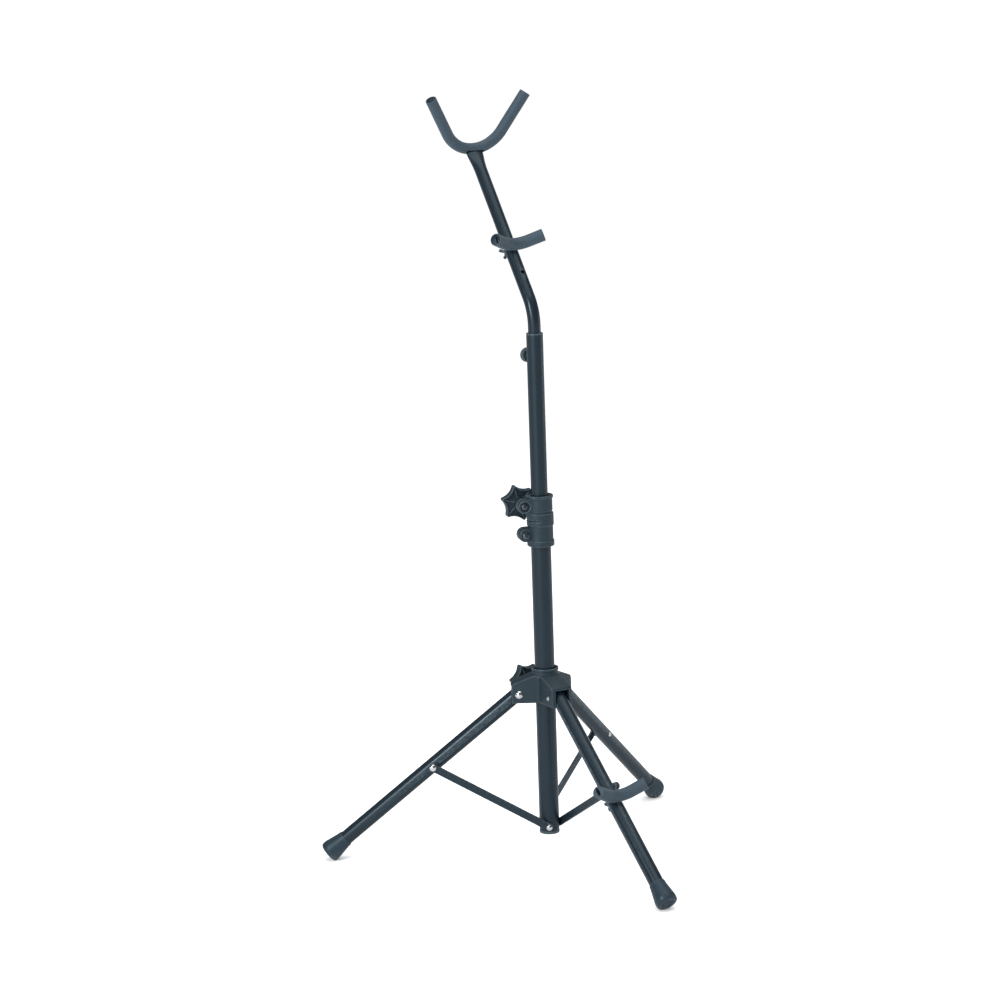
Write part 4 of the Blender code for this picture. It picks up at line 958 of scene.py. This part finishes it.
def make_upper_tube():
    """The bent tube: round up to its neck, then pressed flat and flared under the yoke."""
    low = spot("upper_tube_swivel").z
    bend_y = BEND_R * (1 - cos(LEAN))
    bend_z = SPINE.translation.z - BEND_R * sin(LEAN)
    end = YOKE_AT - YOKE_ROD_R - GAP - 0.5 * MM
    neck = 34 * MM
    path = [Vector((0, 0, z)) for z in (low, low + 0.5 * MM, bend_z - 20 * MM)]
    flat = [0.0] * len(path)                     # how far the tube is pressed flat
    bend_steps = 28
    for i in range(bend_steps + 1):
        turn = LEAN * i / bend_steps
        path.append(Vector((0, BEND_R * (1 - cos(turn)), bend_z + BEND_R * sin(turn))))
        flat.append(0.0)
    up = Vector((0, sin(LEAN), cos(LEAN)))
    start = Vector((0, bend_y, bend_z + BEND_R * sin(LEAN)))
    neck_steps = 20
    alongs = [20 * MM, 60 * MM, 140 * MM] + [end - neck + neck * i / neck_steps
                                             for i in range(neck_steps + 1)]
    for along in alongs:
        share = max(0.0, (along - end + neck) / neck)
        path.append(start + up * along)
        flat.append(share * share * (3 - 2 * share))

    def section(inset, i):
        wide = UPPER_R + flat[i] * 4.4 * MM - inset
        thin = UPPER_R + flat[i] * (4.2 * MM - UPPER_R) - inset
        if i == 0 or i == len(path) - 1:
            wide, thin = wide - 0.3 * MM, thin - 0.3 * MM
        return [(wide * x, max(thin, 0.5 * MM) * y) for x, y in circle(1.0, TUBE_SIDES)]

    outer = rings_along(path, X, lambda i: section(0.0, i))
    last = path[-1] + up * 0.25 * MM
    outer.append([last + (point - path[-1]) * 0.9 for point in outer[-1]])
    hollow = path[:-4]
    inner = rings_along(hollow, X, lambda i: section(TUBE_WALL, i))
    pipe = skin(list(reversed(inner)) + outer)
    spine = COLUMN.inverted() @ SPINE
    spare = bar(CRADLE_BOLT_R + GAP, -20 * MM, 0)
    steps = [bored(CRADLE_BOLT_R, spine @ shift(0, 0, MID_CRADLE_AT) @ ALONG_Y),
             cut(spare, spine @ shift(0, 0, SPARE_HOLE_AT) @ ALONG_Y)]
    show("upper_tube", carved(pipe, steps), COLUMN)


# ------------------------ foam, yoke and cradles

def u_path(bend_radius, splay, arm, end_trim=0.0):
    """A flat U in XZ with its lowest point at the origin; the arms splay from +Z. Close points
    near the ends leave room for a rounded rim."""
    sweep = pi / 2 - splay
    steps = 36
    turns = [sweep * i / steps for i in range(steps + 1)]
    half = [Vector((bend_radius * sin(t), 0, bend_radius * (1 - cos(t)))) for t in turns]
    out = Vector((sin(splay), 0, cos(splay)))
    corner = half[-1]
    length = arm - end_trim
    count = int(length / (1.6 * MM))
    half += [corner + out * length * i / count for i in range(1, count)]
    half += [corner + out * (length - back) for back in (0.9 * MM, 0.3 * MM, 0.0)]
    return [Vector((-p.x, 0, p.z)) for p in reversed(half[1:])] + half


def foam_sleeve(path, radius, bore, seed, open_ends=True, sides=56):
    """A foam tube: rounded cut ends, a soft waver, creases inside the bend and a shallow band
    where each end was squeezed on. Its bore, given as half sizes along Y and across, hugs what
    it is on, and may open to a round hollow for a few millimetres at each end."""
    run = [0.0]
    for a, b in zip(path, path[1:]):
        run.append(run[-1] + (b - a).length)
    total = run[-1]
    drop = {0: 0.9 * MM, 1: 0.25 * MM, len(path) - 1: 0.9 * MM, len(path) - 2: 0.25 * MM}

    def section(i):
        points = []
        from_end = min(run[i], total - run[i])
        mid = abs(run[i] - total / 2) / (total / 2)
        band = 0.3 * MM * max(0.0, 1 - abs(from_end - 5.5 * MM) / (1.6 * MM)) ** 2
        for k in range(sides):
            turn = 2 * pi * k / sides
            u, v = cos(turn), sin(turn)
            inner = max(0.0, -v) ** 2
            fold = noise.noise(Vector((run[i] * 260, seed, 0.5 * u)))
            fold += 0.55 * sin(run[i] * 2 * pi / (7 * MM))
            crease = 0.42 * MM * inner * max(0.0, fold) ** 2 * max(0.0, 1 - mid * 1.5)
            waver = 0.22 * MM * noise.noise(Vector((u * 1.3 + seed, v * 1.3, run[i] * 45)))
            r = radius - drop.get(i, 0.0) - band - crease + waver
            points.append((r * u, r * v))
        return points

    def hollow(i):
        from_end = min(run[i], total - run[i])
        share = min(1.0, max(0.0, (5.6 * MM - from_end) / (1.4 * MM))) if open_ends else 0.0
        wide, high = (size + (radius - 1.5 * MM - size) * share for size in bore)
        return [(wide * u, high * v) for u, v in circle(1.0, sides)]

    outer = rings_along(path, Y, section)
    inner = rings_along(path, Y, hollow)
    return skin(outer + list(reversed(inner)), loop=True)


def rod_along(path, section):
    """A solid bar along a path, its ends slightly drawn in."""
    rings = rings_along(path, Y, lambda i: section)
    for end in (0, -1):
        centre = path[end]
        rings[end] = [centre + (point - centre) * 0.85 for point in rings[end]]
    return skin(rings)


def make_yoke():
    arm, splay, bend = 66.2 * MM, radians(30.7), 54.0 * MM
    path = u_path(bend, splay, arm)
    foam_mesh = foam_sleeve(path, YOKE_FOAM_R, (YOKE_ROD_R + GAP, YOKE_ROD_R + GAP), 3.7)
    mouth = box((-14.6 * MM, -5.4 * MM, -15 * MM), (14.6 * MM, 5.4 * MM, 0))
    place = YOKE.inverted() @ SPINE @ shift(0, 0, YOKE_AT - MM)
    sleeve = show("yoke_foam", carved(foam_mesh, [cut(mouth, place)]), YOKE)
    rod = rod_along(u_path(bend, splay, arm, 5.0 * MM), circle(YOKE_ROD_R, SMALL_SIDES))
    show("yoke_rod", rod, YOKE)


def make_cradle(name, tube_radius, seat, tail, wing_turn, seed):
    """A foam U on a steel strip, squeezed on its tube by a bolt with a wing nut behind."""
    skin_r = tube_radius + GAP
    centre = skin_r + CRADLE_OFF
    bend, splay, arm = 38.0 * MM, radians(55.0), 23.0 * MM
    strip_half, strip_thin = 6.9 * MM, 1.2 * MM
    spacer_r = 5.0 * MM
    hug = (strip_half + 0.4 * MM, strip_thin + 1.4 * MM)
    open_ends = name == "mid"
    foam_mesh = foam_sleeve(u_path(bend, splay, arm), CRADLE_FOAM_R, hug, seed, open_ends)
    foam_mesh.transform(shift(0, 0, centre))
    cuts = [cut(bar(spacer_r + 0.5 * MM, 0, centre)),
            cut(box((-SEAT_HALF, -SEAT_HALF, 0), (SEAT_HALF, SEAT_HALF, skin_r)))]
    sleeve = show(name + "_cradle_foam", carved(foam_mesh, cuts), seat)

    section = rounded([(-strip_half, -strip_thin, 0.6 * MM), (strip_half, -strip_thin, 0.6 * MM),
                       (strip_half, strip_thin, 0.6 * MM), (-strip_half, strip_thin, 0.6 * MM)], 3)
    strip = rod_along(u_path(bend, splay, arm, 8 * MM), section)
    strip.transform(shift(0, 0, centre))
    drilled = [cut(bar(CRADLE_BOLT_R + GAP, 0, 60 * MM))]
    show(name + "_cradle_strip", carved(strip, drilled), seat)

    under = centre - strip_thin - GAP
    spacer = tube(CRADLE_BOLT_R + GAP, spacer_r, skin_r, under, SMALL_SIDES, 0.4 * MM)
    show(name + "_cradle_spacer", spacer, seat)
    bolt = screw(CRADLE_BOLT_R, 3.9 * MM, 2.0 * MM, centre + strip_thin + GAP, -tube_radius,
                 -tube_radius - tail)
    show(name + "_cradle_bolt", bolt, seat)
    behind = seat @ shift(0, 0, -skin_r) @ Matrix.Rotation(wing_turn, 4, "Z")
    behind = behind @ Matrix.Rotation(pi, 4, "X")
    even_shading(show(name + "_wing_nut", wing_nut(CRADLE_BOLT_R + GAP), behind))


# ------------------------ light, floor and camera

def make_floor():
    """A plain pale floor that reaches past every view. Its mirror image in the object is darker
    than the floor, as where a real studio floor ends."""
    reach = 60.0
    work = bmesh.new()
    bmesh.ops.create_grid(work, x_segments=1, y_segments=1, size=reach)
    floor = placed("floor", as_mesh(work))
    floor.location.z = -0.02 * MM
    made = bpy.data.materials.new("pale_floor")
    made.use_nodes = True
    tree = made.node_tree
    shader = tree.nodes["Principled BSDF"]
    mirrored = node(tree, "LightPath").outputs["Is Glossy Ray"]
    pale, dimmed = (0.97, 0.97, 0.97, 1.0), (0.50, 0.52, 0.53, 1.0)
    tree.links.new(blended(tree, mirrored, pale, dimmed), shader.inputs["Base Color"])
    shader.inputs["Roughness"].default_value = 1.0
    shader.inputs["Specular IOR Level"].default_value = 0.0
    floor.data.materials.append(made)


def softbox(name, place, aim, width, height, power):
    """A rectangular light, which no camera sees."""
    light = bpy.data.lights.new(name, "AREA")
    light.shape = "RECTANGLE"
    light.size = width
    light.size_y = height
    light.energy = power
    made = placed(name, light)
    made.visible_camera = False
    made.location = place
    made.rotation_euler = (Vector(place) - Vector(aim)).to_track_quat("Z", "Y").to_euler()


def make_light():
    """White surroundings that are dim in mirror images, and the softboxes: a wide one overhead,
    a narrow high one and a broad low one at the left, and weak ones at the right and behind."""
    world = bpy.data.worlds.new("studio")
    world.use_nodes = True
    tree = world.node_tree
    mirrored = node(tree, "LightPath").outputs["Is Glossy Ray"]
    back = tree.nodes["Background"]
    back.inputs["Color"].default_value = (0.985, 0.993, 1.0, 1.0)
    lit, in_mirror = 1.06, 0.14
    tree.links.new(ramp(tree, mirrored, lit, in_mirror), back.inputs["Strength"])
    bpy.context.scene.world = world
    centre = (0.0, 0.0, 0.5)
    softbox("overhead", (0.0, 0.0, 3.3), (0.0, 0.0, 0.3), 3.2, 3.2, 56.0)
    softbox("left_window", (-2.5, -0.72, 1.66), centre, 0.42, 0.8, 40.0)
    softbox("left_panel", (-2.4, -1.5, 0.7), centre, 2.2, 1.3, 11.0)
    softbox("right_strip", (2.6, -0.8, 0.7), (0.0, 0.0, 0.3), 0.7, 1.2, 6.0)
    softbox("back_strip", (2.4, 1.7, 1.0), centre, 0.9, 1.9, 6.0)
    bpy.context.scene.view_settings.view_transform = "Standard"


def make_camera():
    """A long lens, looking a little down on the stand from left of its front leg."""
    azimuth, elevation, roll = radians(-28.91), radians(11.62), radians(-1.876)
    distance, lens = 5.289, 128.15
    aim_left, aim_height = 0.0588, 0.5492
    right = Vector((cos(azimuth), sin(azimuth), 0))
    back = Vector((sin(azimuth) * cos(elevation), -cos(azimuth) * cos(elevation), sin(elevation)))
    up = back.cross(right)
    aim = Vector((AXIS.x, AXIS.y, aim_height)) - right * aim_left
    columns = (right * cos(roll) + up * sin(roll), up * cos(roll) - right * sin(roll), back)
    camera = bpy.data.cameras.new("camera")
    camera.lens = lens
    camera.sensor_width = 36.0
    camera.clip_end = 200.0
    place = shift(*(aim + back * distance)) @ Matrix(columns).transposed().to_4x4()
    bpy.context.scene.camera = placed("camera", camera, place)


def main():
    make_camera()
    make_light()
    make_floor()
    make_column()
    make_clutch()
    make_hub()
    for leg in LEGS:
        make_leg(leg)
    make_mid_tube()
    make_upper_tube()
    make_yoke()
    make_cradle("mid", UPPER_R, MID_SEAT, 15 * MM, radians(135.0), 11.3)
    make_cradle("low", LEG_R, LOW_SEAT, 9 * MM, radians(107.5), 27.9)
    for name, made in frame["nodes"].items():
        for place in made.material_slots:
            place.material = MATERIAL[SLOT_OF[name]]


main()
